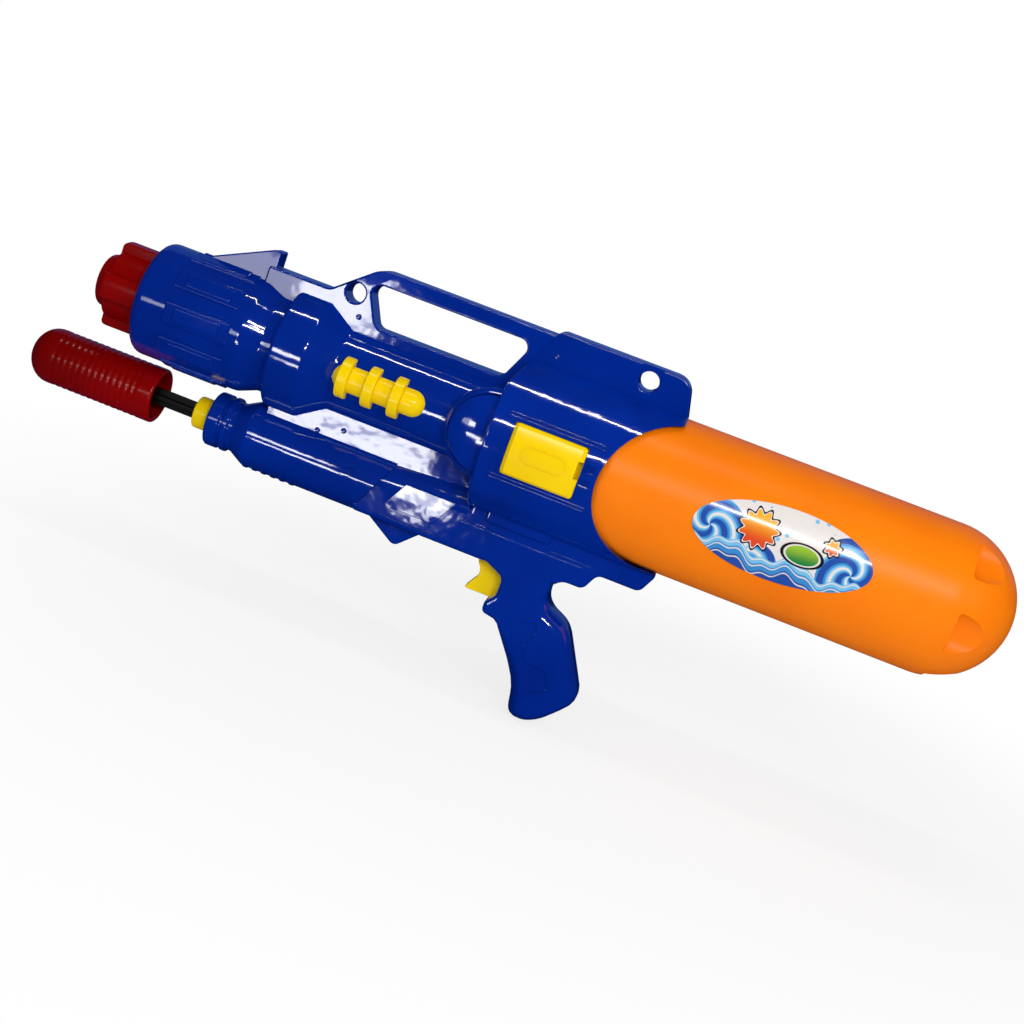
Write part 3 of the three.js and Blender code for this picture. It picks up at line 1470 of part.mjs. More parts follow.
function outletHose() {
  const foot = valveZ + VALVE_R + GAP;
  const end = stemX + STEM_LENGTH + GAP;
  return hose([
    [-VALVE_OUTLET, 0, foot],
    [-VALVE_OUTLET, 0, foot + BARB_LENGTH / 2],
    [-VALVE_OUTLET, 0, foot + BARB_LENGTH],
    [-VALVE_OUTLET, 0, foot + OUTLET_STRAIGHT],
    [-VALVE_OUTLET - OUTLET_LEAN, -OUTLET_SIDE / 2, foot + OUTLET_TURN],
    [-VALVE_OUTLET - OUTLET_SWING, -OUTLET_SIDE, foot + OUTLET_TOP],
    [-VALVE_OUTLET - OUTLET_LEAD, -OUTLET_SIDE, 0],
    [shoulderX, -OUTLET_SIDE / 4, 0],
    [drumFrontX, 0, 0],
    [end + BARB_LENGTH, 0, 0],
    [end, 0, 0],
  ]);
}

// Trigger and valve

function trigger() {
  const corners = [
    [-TRIGGER_ARM_FRONT, PIN_Z + TRIGGER_ARM, TRIGGER_ROUND],
    [-TRIGGER_ARM_FRONT, PIN_Z - TRIGGER_ROUND, TRIGGER_ROUND],
    [TRIGGER_NUB_X, TRIGGER_NUB_Z, TRIGGER_ROUND / 2],
    [TRIGGER_WAIST_X, TRIGGER_WAIST_Z, 6 * TRIGGER_ROUND],
    [TRIGGER_TIP_X, TRIGGER_TIP_Z, TRIGGER_ROUND / 2],
    [TRIGGER_BACK, TRIGGER_TIP_Z, 2 * TRIGGER_ROUND],
    [TRIGGER_BACK, TRIGGER_BACK_Z, 2 * TRIGGER_ROUND],
    [TRIGGER_ARM_BACK, PIN_Z, TRIGGER_ROUND],
    [TRIGGER_ARM_BACK, PIN_Z + TRIGGER_ARM, TRIGGER_ROUND],
  ];
  const hole = rodY(-FRAME_HALF, FRAME_HALF, PIN_R + GAP, 0, PIN_Z);
  return cut(plate(corners, TRIGGER_HALF, TRIGGER_ROUND / 4), hole);
}

function valveBody() {
  const rearWallX = valveRearX - VALVE_END;
  const body = turned(
    [
      [valveFrontX, 0],
      [valveFrontX, VALVE_R],
      [valveRearX, VALVE_R],
      [valveRearX, PLUNGER_R + GAP],
      [rearWallX, PLUNGER_R + GAP],
      [rearWallX, VALVE_BORE_R],
      [valveFrontX + VALVE_END, VALVE_BORE_R],
      [valveFrontX + VALVE_END, 0],
    ],
    ROUND,
    valveZ,
  );
  return [VALVE_INLET, VALVE_OUTLET].reduce((made, lead) => barbUp(made, -lead, valveZ, VALVE_R), body);
}

const plungerHeadRearX = valveRearX - VALVE_END - VALVE_SEAL - 2 * GAP;
const plungerTipX = -TRIGGER_ARM_FRONT - GAP;

function valvePlunger() {
  const headX = plungerHeadRearX - PLUNGER_HEAD;
  return turned(
    [
      [headX, 0],
      [headX, PLUNGER_HEAD_R],
      [plungerHeadRearX, PLUNGER_HEAD_R],
      [plungerHeadRearX, PLUNGER_R],
      ...quarter(plungerTipX - PLUNGER_R, -PLUNGER_R, PLUNGER_R, TRIM_STEPS, false),
    ],
    ROUND,
    valveZ,
  );
}

function valveSeal() {
  const x = plungerHeadRearX + GAP;
  const inner = PLUNGER_R + GAP;
  return turned(
    [
      [x, inner],
      [x, PLUNGER_HEAD_R],
      [x + VALVE_SEAL, PLUNGER_HEAD_R],
      [x + VALVE_SEAL, inner],
      [x, inner],
    ],
    ROUND,
    valveZ,
  );
}

// A screw along Y with its head to the right.
function screw(x, z) {
  const seat = SCREW_FLOOR + GAP;
  const top = seat + SCREW_HEAD;
  const profile = [
    [0, -SCREW_DEPTH],
    [SCREW_R, SCREW_POINT - SCREW_DEPTH],
    [SCREW_R, seat],
    [SCREW_HEAD_R, seat],
    [SCREW_HEAD_R, top - SCREW_HEAD / 3],
    [SCREW_R, top],
    [0, top],
  ];
  const points = profile.map(([r, y]) => new THREE.Vector2(r, y));
  const geometry = new THREE.LatheGeometry(points, SCREW_SIDES);
  geometry.translate(x, 0, z);
  return solid(geometry);
}

// Materials and assembly

function finish(color, roughness, metalness = 0) {
  return new THREE.MeshStandardMaterial({ color, roughness, metalness });
}
const BLUE = finish(0x0a2fa8, 0.22);
const RED = finish(0x9c0a12, 0.38);
const YELLOW = finish(0xf4d50a, 0.3);
const ORANGE = finish(0xff8c0a, 0.45);
const BLACK = finish(0x1c1d1c, 0.45);
const WHITE = finish(0xe6e6e0, 0.45);
const CLEAR = finish(0xd8dcd6, 0.3);
const RUBBER = finish(0x26262a, 0.8);
const STEEL = finish(0xb4b6ba, 0.3, 1);
const PRINT = finish(0x4fa3d8, 0.4);

const squirter = new THREE.Group();
squirter.position.set(-HOLD_X, 0, -HOLD_Z);

function piece(name, made, material) {
  const data = made.getMesh();
  const geometry = new THREE.BufferGeometry();
  geometry.setAttribute("position", new THREE.BufferAttribute(data.vertProperties, 3));
  geometry.setIndex(new THREE.BufferAttribute(data.triVerts, 1));
  geometry.computeVertexNormals();
  const mesh = new THREE.Mesh(geometry, material);
  mesh.name = name;
  squirter.add(mesh);
}

const halves = casingHalves();
piece("casing_left", halves.left, BLUE);
piece("casing_right", halves.right, BLUE);
piece("nozzle", nozzle(), RED);
piece("nozzle_tube", nozzleTube(), WHITE);
piece("nozzle_seal", ring(sealX, sealR, SEAL_WIRE), RUBBER);
piece("barrel_trim_left", barrelTrim(-1), YELLOW);
piece("barrel_trim_right", barrelTrim(1), YELLOW);
piece("port_cover_left", portCover(-1), YELLOW);
piece("port_cover_right", portCover(1), YELLOW);
piece("pump_grip", pumpGrip(), RED);
piece("pump_rod", pumpRod(), BLACK);
piece("pump_piston", piston(), BLACK);
piece("piston_ring", ring(pistonRingX, pistonRingR, RING_WIRE, pumpZ), RUBBER);
piece("pump_cylinder", pumpCylinder(), WHITE);
piece("gland_cap", glandCap(), YELLOW);
piece("check_valve_body", checkValve(), WHITE);
piece("check_valve_ball", checkBall(), STEEL);
const checkSpringX = checkBallX + CHECK_BALL_R + GAP;
piece(
  "check_valve_spring",
  spring("check valve spring", checkSpringX, checkChamberX - GAP, CHECK_SPRING_R, CHECK_SPRING_TURNS, pumpZ),
  STEEL,
);
piece("air_hose", airHose(), CLEAR);
piece("tank", tank(), ORANGE);
piece("tank_label", tankLabel(), PRINT);
piece("tank_socket", tankSocket(), WHITE);
piece("tank_gasket", tankGasket(), RUBBER);
piece("dip_tube", dipTube(), CLEAR);
piece("trigger", trigger(), YELLOW);
piece("trigger_pin", rodY(-PIN_HALF, PIN_HALF, PIN_R, 0, PIN_Z), STEEL);
piece(
  "trigger_spring",
  spring(
    "trigger spring",
    triggerSpringX,
    triggerSpringX + TRIGGER_SPRING_LENGTH,
    TRIGGER_SPRING_R,
    TRIGGER_SPRING_TURNS,
    TRIGGER_SPRING_Z,
  ),
  STEEL,
);
piece("valve_body", valveBody(), WHITE);
piece("valve_plunger", valvePlunger(), BLACK);
piece("valve_seal", valveSeal(), RUBBER);
piece(
  "valve_spring",
  spring(
    "valve spring",
    valveFrontX + VALVE_END + GAP,
    plungerHeadRearX - PLUNGER_HEAD - GAP,
    VALVE_SPRING_R,
    VALVE_SPRING_TURNS,
    valveZ,
  ),
  STEEL,
);
piece("supply_hose", supplyHose(), CLEAR);
piece("outlet_hose", outletHose(), CLEAR);
for (const [name, x, z] of SCREWS) {
  piece(name, screw(x, z), STEEL);
}

const part = new THREE.Group();
part.add(squirter);
export default part;
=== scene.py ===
"""The look of the pump action water squirter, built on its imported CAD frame.

Pieces are modelled in millimetres about the barrel line, with stations measured from the trigger pin,
and are then scaled to metres and moved into the frame. The muzzle points to -X and the left side to -Y.
"""
import json
import logging
import math
from collections.abc import Sequence
from dataclasses import dataclass, field
from enum import Enum

import bpy
from mathutils import Matrix, Vector


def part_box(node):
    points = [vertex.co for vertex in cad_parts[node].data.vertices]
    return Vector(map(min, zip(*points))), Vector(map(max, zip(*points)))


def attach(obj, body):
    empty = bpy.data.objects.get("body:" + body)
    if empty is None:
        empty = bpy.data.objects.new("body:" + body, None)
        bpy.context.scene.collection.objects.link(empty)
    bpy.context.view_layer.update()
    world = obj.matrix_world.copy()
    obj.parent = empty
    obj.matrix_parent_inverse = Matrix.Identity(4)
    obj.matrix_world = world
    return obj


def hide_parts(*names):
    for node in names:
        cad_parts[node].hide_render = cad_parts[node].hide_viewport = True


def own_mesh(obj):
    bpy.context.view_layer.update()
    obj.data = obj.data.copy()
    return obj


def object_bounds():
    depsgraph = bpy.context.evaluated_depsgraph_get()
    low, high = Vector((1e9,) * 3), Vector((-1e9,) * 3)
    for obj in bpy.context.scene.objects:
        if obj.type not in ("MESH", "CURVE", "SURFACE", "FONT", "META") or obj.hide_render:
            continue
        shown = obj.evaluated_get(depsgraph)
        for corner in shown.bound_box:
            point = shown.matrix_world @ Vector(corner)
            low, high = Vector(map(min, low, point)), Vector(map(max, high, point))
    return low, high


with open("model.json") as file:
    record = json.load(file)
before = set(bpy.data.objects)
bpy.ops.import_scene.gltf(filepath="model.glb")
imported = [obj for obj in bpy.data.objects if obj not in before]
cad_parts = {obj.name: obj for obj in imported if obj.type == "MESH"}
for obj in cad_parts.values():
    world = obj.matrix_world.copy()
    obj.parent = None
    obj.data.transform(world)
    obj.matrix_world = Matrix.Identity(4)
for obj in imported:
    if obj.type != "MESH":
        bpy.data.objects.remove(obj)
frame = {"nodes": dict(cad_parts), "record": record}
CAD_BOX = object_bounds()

LOG = logging.getLogger("squirter")
MM = 0.001
CORNER_SHARE = 0.49
WELD = 1e-4
SMOOTH_ANGLE = math.radians(32)

Point = tuple[float, float]
Corner = tuple[float, float, float]
Place = tuple[float, float, float]
Colour = tuple[float, float, float, float]
Shape = bpy.types.Object

ORIGIN: Place = (0.0, 0.0, 0.0)


def middle(node: str) -> Vector:
    """Middle of a CAD node's box, in metres."""
    low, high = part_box(node)
    return (Vector(low) + Vector(high)) / 2


DATUM = Vector((middle("trigger_pin").x, 0.0, middle("tank").z))


def srgb(red: float, green: float, blue: float) -> Colour:
    """Linear colour from sRGB values of 0 to 255."""
    linear = [((c / 255 + 0.055) / 1.055) ** 2.4 if c > 10 else c / 255 / 12.92 for c in (red, green, blue)]
    return (linear[0], linear[1], linear[2], 1.0)


def rounded(corners: Sequence[Corner], closed: bool = True, steps: int = 6) -> list[Point]:
    """Replaces each corner with an arc.

    Args:
        corners: Points as (u, v, radius).
        closed: Whether the last point joins the first.
        steps: Steps in each arc.

    Returns:
        The points of the rounded line.
    """
    points: list[Point] = []
    count = len(corners)
    for i, (u, v, radius) in enumerate(corners):
        end = not closed and i in (0, count - 1)
        if radius <= 0 or end:
            points.append((u, v))
            continue
        here = Vector((u, v))
        back = Vector(corners[i - 1][:2]) - here
        ahead = Vector(corners[(i + 1) % count][:2]) - here
        half = back.angle(ahead) / 2
        reach = min(radius / math.tan(half), CORNER_SHARE * min(back.length, ahead.length))
        back.normalize()
        ahead.normalize()
        centre = here + (back + ahead).normalized() * (reach / math.cos(half))
        arm = here + back * reach - centre
        sign = -1 if back.x * ahead.y - back.y * ahead.x > 0 else 1
        for k in range(steps + 1):
            turn = sign * (math.pi - 2 * half) * k / steps
            x = arm.x * math.cos(turn) - arm.y * math.sin(turn)
            y = arm.x * math.sin(turn) + arm.y * math.cos(turn)
            points.append((centre.x + x, centre.y + y))
    return points


def drawn_in(corners: Sequence[Corner], distance: float) -> list[Corner]:
    """Moves a closed outline inwards.

    Args:
        corners: Points as (u, v, radius).
        distance: How far the sides move in.

    Returns:
        The corners of the smaller outline.
    """
    count = len(corners)
    flat = [Vector(c[:2]) for c in corners]
    area = sum(a.x * b.y - b.x * a.y for a, b in zip(flat, flat[1:] + flat[:1]))
    turn = math.copysign(1.0, area)
    sides = []
    for a, b in zip(flat, flat[1:] + flat[:1]):
        along = (b - a).normalized()
        sides.append((a + Vector((-along.y, along.x)) * turn * distance, along))
    made: list[Corner] = []
    for i in range(count):
        start, before = sides[i - 1]
        point, after = sides[i]
        bend = before.x * after.y - before.y * after.x
        gap = point - start
        step = (gap.x * after.y - gap.y * after.x) / bend
        place = start + before * step
        radius = corners[i][2]
        new = max(radius - math.copysign(1.0, bend * turn) * distance, 0.0) if radius > 0 else 0.0
        made.append((place.x, place.y, new))
    return made


def plain_bar(low: float, high: float, radius: float) -> list[Point]:
    """Profile of a plain round bar between two stations."""
    return [(low, 0.0), (low, radius), (high, radius), (high, 0.0)]


def quarter(steps: int) -> list[Point]:
    """Cosine and sine at even steps over a quarter turn."""
    turns = [math.pi / 2 * i / steps for i in range(steps + 1)]
    return [(math.cos(turn), math.sin(turn)) for turn in turns]


def steps_round(wall: float, fine: int) -> int:
    """Steps round a turned form: half as many for a hollow, which has a wall, as for an outside."""
    return fine // 2 if wall else fine


class Axis(Enum):
    """Directions of turned forms."""

    X = (1.0, 0.0, 0.0)
    Y = (0.0, 1.0, 0.0)


class Side(Enum):
    """The shooter's left and right, as signs of Y."""

    LEFT = -1
    RIGHT = 1

    def span(self, inner: float, outer: float) -> Point:
        """Two distances from the middle plane, as a low and a high Y on this side."""
        low, high = sorted((self.value * inner, self.value * outer))
        return low, high


class Rays(Enum):
    """What a lamp acts on."""

    ALL = 0
    DIFFUSE = 1
    GLOSSY = 2


class Bench:
    """Modelling by operators, in millimetres about the barrel line."""

    @staticmethod
    def pick(obj: Shape) -> None:
        """Makes one object the only selected and the active one."""
        bpy.ops.object.select_all(action="DESELECT")
        obj.select_set(True)
        bpy.context.view_layer.objects.active = obj

    @classmethod
    def edit(cls, obj: Shape) -> None:
        """Opens an object in edit mode with all of it selected."""
        cls.pick(obj)
        bpy.ops.object.mode_set(mode="EDIT")
        bpy.ops.mesh.select_mode(type="VERT")
        bpy.ops.mesh.select_all(action="SELECT")

    @staticmethod
    def close() -> None:
        """Leaves edit mode."""
        bpy.ops.object.mode_set(mode="OBJECT")

    @staticmethod
    def weld() -> None:
        """Merges points that coincide, in edit mode."""
        bpy.ops.mesh.select_all(action="SELECT")
        bpy.ops.mesh.remove_doubles(threshold=WELD)

    @staticmethod
    def cap() -> None:
        """Fills the open ends, in edit mode."""
        bpy.ops.mesh.select_all(action="DESELECT")
        bpy.ops.mesh.select_non_manifold()
        bpy.ops.mesh.fill_holes(sides=0)

    @staticmethod
    def outward() -> None:
        """Turns all faces outward, in edit mode."""
        bpy.ops.mesh.select_all(action="SELECT")
        bpy.ops.mesh.normals_make_consistent(inside=False)

    @classmethod
    def trace(cls, points: Sequence[Vector]) -> Shape:
        """Draws a line by extruding one vertex from point to point, and stays in edit mode."""
        bpy.ops.object.select_all(action="DESELECT")
        bpy.ops.mesh.primitive_plane_add(size=1)
        made = bpy.context.object
        cls.edit(made)
        bpy.ops.mesh.merge(type="CENTER")
        bpy.ops.transform.translate(value=points[0])
        for here, there in zip(points, points[1:]):
            bpy.ops.mesh.extrude_vertices_move(TRANSFORM_OT_translate={"value": tuple(there - here)})
        return made

    @classmethod
    def lathe(
        cls,
        profile: Sequence[Point],
        axis: Axis = Axis.X,
        at: Place = ORIGIN,
        steps: int = 96,
        ring: bool = False,
    ) -> Shape:
        """Spins a profile round a line.

        Args:
            profile: Points as (station along the axis, radius).
            axis: The line's direction, X or Y.
            at: A point on the line.
            steps: Steps round the line.
            ring: Whether the profile is closed and stays off the axis.

        Returns:
            The turned body.
        """
        closed = list(profile) + ([profile[0]] if ring else [])
        if axis is Axis.X:
            points = [Vector((s, 0.0, r)) for s, r in closed]
        else:
            points = [Vector((r, s, 0.0)) for s, r in closed]
        made = cls.trace(points)
        bpy.ops.mesh.select_all(action="SELECT")
        bpy.ops.mesh.spin(steps=steps, angle=math.tau, center=ORIGIN, axis=axis.value)
        cls.weld()
        cls.outward()
        bpy.ops.transform.translate(value=at)
        cls.close()
        return made

    @classmethod
    def slab(cls, points: Sequence[Point], low: float, high: float) -> Shape:
        """A plate with a closed outline in the XZ plane, between two values of Y."""
        made = cls.trace([Vector((x, low, z)) for x, z in points])
        bpy.ops.mesh.select_all(action="SELECT")
        bpy.ops.mesh.edge_face_add()
        bpy.ops.mesh.extrude_region_move(TRANSFORM_OT_translate={"value": (0.0, high - low, 0.0)})
        cls.outward()
        cls.close()
        return made

    @classmethod
    def loft(cls, rings: Sequence[Sequence[Vector]]) -> Shape:
        """A closed body through rings that have equal counts of points."""
        parts = []
        for ring in rings:
            parts.append(cls.trace(list(ring) + [ring[0]]))
            cls.weld()
            cls.close()
        cls.pick(parts[0])
        for part in parts:
            part.select_set(True)
        bpy.ops.object.join()
        made = bpy.context.object
        cls.edit(made)
        bpy.ops.mesh.select_mode(type="EDGE")
        bpy.ops.mesh.select_all(action="SELECT")
        bpy.ops.mesh.bridge_edge_loops()
        cls.cap()
        cls.outward()
        cls.close()
        return made

    @classmethod
    def block(cls, low: Place, high: Place) -> Shape:
        """A box between two corners."""
        bpy.ops.object.select_all(action="DESELECT")
        bpy.ops.mesh.primitive_cube_add(size=1)
        made = bpy.context.object
        cls.edit(made)
        size = Vector(high) - Vector(low)
        bpy.ops.transform.resize(value=size, center_override=ORIGIN)
        bpy.ops.transform.translate(value=(Vector(low) + Vector(high)) / 2)
        cls.close()
        return made

    @classmethod
    def rod(cls, low: float, high: float, radius: float, at: Point, steps: int = 48) -> Shape:
        """A round bar along Y through a point (x, z)."""
        return cls.lathe(plain_bar(low, high, radius), Axis.Y, (at[0], 0.0, at[1]), steps)

    @classmethod
    def shift(cls, obj: Shape, by: Place) -> Shape:
        """Moves a mesh."""
        cls.edit(obj)
        bpy.ops.transform.translate(value=by)
        cls.close()
        return obj

    @classmethod
    def turn(cls, obj: Shape, angle: float, axis: Axis, about: Place = ORIGIN) -> Shape:
        """Turns a mesh round a line through a point."""
        cls.edit(obj)
        bpy.ops.transform.rotate(
            value=-angle,
            orient_axis=axis.name,
            orient_matrix=Matrix.Identity(3),
            center_override=about,
            orient_type="GLOBAL",
        )
        cls.close()
        return obj

    @classmethod
    def round_copies(cls, obj: Shape, count: int, start: float = 0.0) -> list[Shape]:
        """Copies of a mesh, turned evenly round the barrel line, in place of the mesh itself."""
        turns = [start + math.tau * i / count for i in range(count)]
        made = [cls.turn(cls.copy(obj), turn, Axis.X) for turn in turns]
        bpy.data.objects.remove(obj)
        return made

    @classmethod
    def mirrored(cls, obj: Shape) -> Shape:
        """A copy on the other side of the middle plane."""
        made = cls.copy(obj)
        cls.edit(made)
        bpy.ops.transform.resize(value=(1, -1, 1), center_override=ORIGIN)
        cls.outward()
        cls.close()
        return made

    @classmethod
    def copy(cls, obj: Shape) -> Shape:
        """A copy of an object with its own mesh."""
        cls.pick(obj)
        bpy.ops.object.duplicate(linked=False)
        return bpy.context.object

    @classmethod
    def apply(cls, obj: Shape, kind: str, **settings: object) -> Shape:
        """Adds a modifier with settings and applies it."""
        cls.pick(obj)
        modifier = obj.modifiers.new(kind.lower(), kind)
        for name, value in settings.items():
            setattr(modifier, name, value)
        bpy.ops.object.modifier_apply(modifier=modifier.name)
        return obj

    @classmethod
    def combine(cls, base: Shape, tools: Sequence[Shape], how: str) -> Shape:
        """Boolean of a base with tools, which are used up.

        Args:
            base: The object that is kept.
            tools: The objects that act on it.
            how: UNION, DIFFERENCE or INTERSECT.

        Returns:
            The base.
        """
        for tool in tools:
            cls.apply(base, "BOOLEAN", operation=how, solver="MANIFOLD", object=tool)
            bpy.data.objects.remove(tool)
        return base

    @classmethod
    def unite(cls, base: Shape, *tools: Shape) -> Shape:
        """Adds tools to a base."""
        return cls.combine(base, tools, "UNION")

    @classmethod
    def cut(cls, base: Shape, *tools: Shape) -> Shape:
        """Takes tools from a base."""
        return cls.combine(base, tools, "DIFFERENCE")

    @classmethod
    def keep(cls, base: Shape, *tools: Shape) -> Shape:
        """Keeps what a base shares with its tools."""
        return cls.combine(base, tools, "INTERSECT")

    @classmethod
    def soften(cls, obj: Shape, width: float, segments: int = 3, angle: float = 40.0) -> Shape:
        """Rounds every edge that is sharper than an angle in degrees."""
        return cls.apply(
            obj,
            "BEVEL",
            width=width,
            segments=segments,
            limit_method="ANGLE",
            angle_limit=math.radians(angle),
            use_clamp_overlap=False,
        )

    @classmethod
    def settle(cls, obj: Shape, name: str, flat: bool = True) -> Shape:
        """Scales a finished piece to metres, moves it into the frame and shades it."""
        obj.name = name
        obj.data.name = name
        cls.edit(obj)
        bpy.ops.transform.resize(value=(MM, MM, MM), center_override=ORIGIN)
        bpy.ops.transform.translate(value=DATUM)
        cls.close()
        bpy.ops.object.shade_smooth_by_angle(angle=SMOOTH_ANGLE)
        if flat:
            cls.apply(obj, "WEIGHTED_NORMAL", mode="FACE_AREA", keep_sharp=True)
        return obj


class Flow:
    """A value socket in a node tree, with arithmetic."""

    def __init__(self, tree: bpy.types.NodeTree, socket: bpy.types.NodeSocket) -> None:
        """Wraps a socket of a tree."""
        self.tree = tree
        self.socket = socket

    def maths(self, operation: str, first: object, second: object = 0.0) -> "Flow":
        """A Math node on two values.

        Args:
            operation: The node's operation.
            first: A flow or a number.
            second: A flow or a number.

        Returns:
            The node's result.
        """
        node = self.tree.nodes.new("ShaderNodeMath")
        node.operation = operation
        for socket, value in zip(node.inputs, (first, second)):
            if isinstance(value, Flow):
                self.tree.links.new(value.socket, socket)
            else:
                socket.default_value = float(value)
        return Flow(self.tree, node.outputs[0])

    def __add__(self, other: object) -> "Flow":
        """Sum."""
        return self.maths("ADD", self, other)

    def __radd__(self, other: object) -> "Flow":
        """Sum with a number on the left."""
        return self.maths("ADD", other, self)

    def __sub__(self, other: object) -> "Flow":
        """Difference."""
        return self.maths("SUBTRACT", self, other)

    def __rsub__(self, other: object) -> "Flow":
        """Difference from a number."""
        return self.maths("SUBTRACT", other, self)

    def __mul__(self, other: object) -> "Flow":
        """Product."""
        return self.maths("MULTIPLY", self, other)

    def __rmul__(self, other: object) -> "Flow":
        """Product with a number on the left."""
        return self.maths("MULTIPLY", other, self)

    def __truediv__(self, other: object) -> "Flow":
        """Quotient."""
        return self.maths("DIVIDE", self, other)

    def __rtruediv__(self, other: object) -> "Flow":
        """A number divided by this."""
        return self.maths("DIVIDE", other, self)

    def sine(self) -> "Flow":
        """Sine in radians."""
        return self.maths("SINE", self)

    def root(self) -> "Flow":
        """Square root."""
        return self.maths("SQRT", self)

    def step(self, low: float, high: float) -> "Flow":
        """Smooth step from 0 at low to 1 at high."""
        node = self.tree.nodes.new("ShaderNodeMapRange")
        node.interpolation_type = "SMOOTHSTEP"
        self.tree.links.new(self.socket, node.inputs["Value"])
        rising = low < high
        node.inputs["From Min"].default_value = low if rising else high
        node.inputs["From Max"].default_value = high if rising else low
        node.inputs["To Min"].default_value = 0.0 if rising else 1.0
        node.inputs["To Max"].default_value = 1.0 if rising else 0.0
        return Flow(self.tree, node.outputs["Result"])


class Recipe:
    """A procedural material under construction."""

    def __init__(self, name: str) -> None:
        """Starts a material with a Principled surface and Object coordinates."""
        self.material = bpy.data.materials.new(name)
        self.material.use_nodes = True
        self.tree = self.material.node_tree
        self.tree.nodes.clear()
        self.output = self.tree.nodes.new("ShaderNodeOutputMaterial")
        self.surface = self.tree.nodes.new("ShaderNodeBsdfPrincipled")
        self.tree.links.new(self.surface.outputs["BSDF"], self.output.inputs["Surface"])
        self.place = self.node("ShaderNodeTexCoord").outputs["Object"]

    def node(
        self, kind: str, settings: dict[str, object] | None = None, **sockets: object
    ) -> bpy.types.Node:
        """Adds any node.

        Args:
            kind: The node's type.
            settings: Its own properties.
            **sockets: Inputs by name, with _ for a space: numbers, colours, sockets or flows.

        Returns:
            The node.
        """
        made = self.tree.nodes.new(kind)
        for name, value in (settings or {}).items():
            setattr(made, name, value)
        for name, value in sockets.items():
            self.feed(made.inputs[name.replace("_", " ")], value)
        return made

    def feed(self, socket: bpy.types.NodeSocket, value: object) -> None:
        """Links a flow or a socket to an input, or sets a constant on it."""
        if isinstance(value, Flow):
            self.tree.links.new(value.socket, socket)
        elif isinstance(value, bpy.types.NodeSocket):
            self.tree.links.new(value, socket)
        else:
            socket.default_value = value

    def flow(self, socket: bpy.types.NodeSocket) -> Flow:
        """A socket as a value with arithmetic."""
        return Flow(self.tree, socket)

    def noise(self, scale: float, detail: float) -> Flow:
        """Noise of 0 to 1, with a scale in cycles per metre."""
        made = self.node("ShaderNodeTexNoise", Vector=self.place, Scale=scale, Detail=detail)
        return self.flow(made.outputs["Fac"])

    def axes(self) -> tuple[Flow, Flow, Flow]:
        """The object's own X, Y and Z, in metres."""
        made = self.node("ShaderNodeSeparateXYZ", Vector=self.place)
        return tuple(self.flow(made.outputs[name]) for name in "XYZ")

    def mix(self, share: object, first: object, second: object) -> bpy.types.NodeSocket:
        """Mixes two colours."""
        made = self.tree.nodes.new("ShaderNodeMix")
        made.data_type = "RGBA"
        self.feed(made.inputs["Factor"], share)
        self.feed(made.inputs[6], first)
        self.feed(made.inputs[7], second)
        return made.outputs[2]

    def bump(self, height: Flow, strength: float, distance: float) -> None:
        """Feeds the surface's normal from a height."""
        made = self.node("ShaderNodeBump", Height=height, Strength=strength, Distance=distance)
        self.tree.links.new(made.outputs["Normal"], self.surface.inputs["Normal"])

    def set(self, **inputs: object) -> None:
        """Sets or links inputs of the Principled surface, with _ for a space."""
        for name, value in inputs.items():
            self.feed(self.surface.inputs[name.replace("_", " ")], value)


@dataclass(frozen=True)
class Plastic:
    """Moulded plastic: a colour that drifts a little, fine wear and a faintly rippled skin."""

    name: str
    colour: Colour
    shade: Colour
    roughness: float
    ripple: float = 0.0
    coat: float = 0.0
    shine: float = 0.5
    drift: float = 14.0
    grain: float = 900.0
    grain_share: float = 0.25
    scuff: float = 70.0
    wear: float = 0.04
    coat_roughness: float = 0.04
    swell: float = 38.0
    swell_fine: float = 120.0
    relief: float = 0.0015

    def make(self) -> bpy.types.Material:
        """Builds the material."""
        r = Recipe(self.name)
        flow = r.noise(self.drift, 3.0).step(0.3, 0.75)
        grain = r.noise(self.grain, 2.0)
        scuffs = r.noise(self.scuff, 6.0).step(0.58, 0.8)
        spread = self.roughness * self.grain_share
        r.set(
            Base_Color=r.mix(flow, self.colour, self.shade),
            Roughness=self.roughness + (grain - 0.5) * spread + scuffs * self.wear,
            Coat_Weight=self.coat,
            Coat_Roughness=self.coat_roughness,
            Specular_IOR_Level=self.shine,
        )
        waves = r.noise(self.swell, 1.0) + r.noise(self.swell_fine, 1.0) * 0.3
        r.bump(waves + grain * 0.01, self.ripple, self.relief)
        return r.material


@dataclass(frozen=True)
class Metal:
    """Bright drawn steel with fine streaks."""

    name: str
    colour: Colour
    dark: Colour

    def make(self) -> bpy.types.Material:
        """Builds the material."""
        r = Recipe(self.name)
        streaks = r.noise(1500.0, 4.0)
        stains = r.noise(160.0, 3.0).step(0.5, 0.75)
        r.set(
            Base_Color=r.mix(stains * 0.5, self.colour, self.dark),
            Roughness=0.24 + streaks * 0.16,
            Metallic=1.0,
        )
        return r.material


@dataclass(frozen=True)
class Rubber:
    """Matt seal rubber with a little bloom."""

    name: str
    colour: Colour
    bloom: Colour

    def make(self) -> bpy.types.Material:
        """Builds the material."""
        r = Recipe(self.name)
        dust = r.noise(240.0, 4.0).step(0.5, 0.8)
        r.set(Base_Color=r.mix(dust, self.colour, self.bloom), Roughness=0.72 + dust * 0.12)
        return r.material


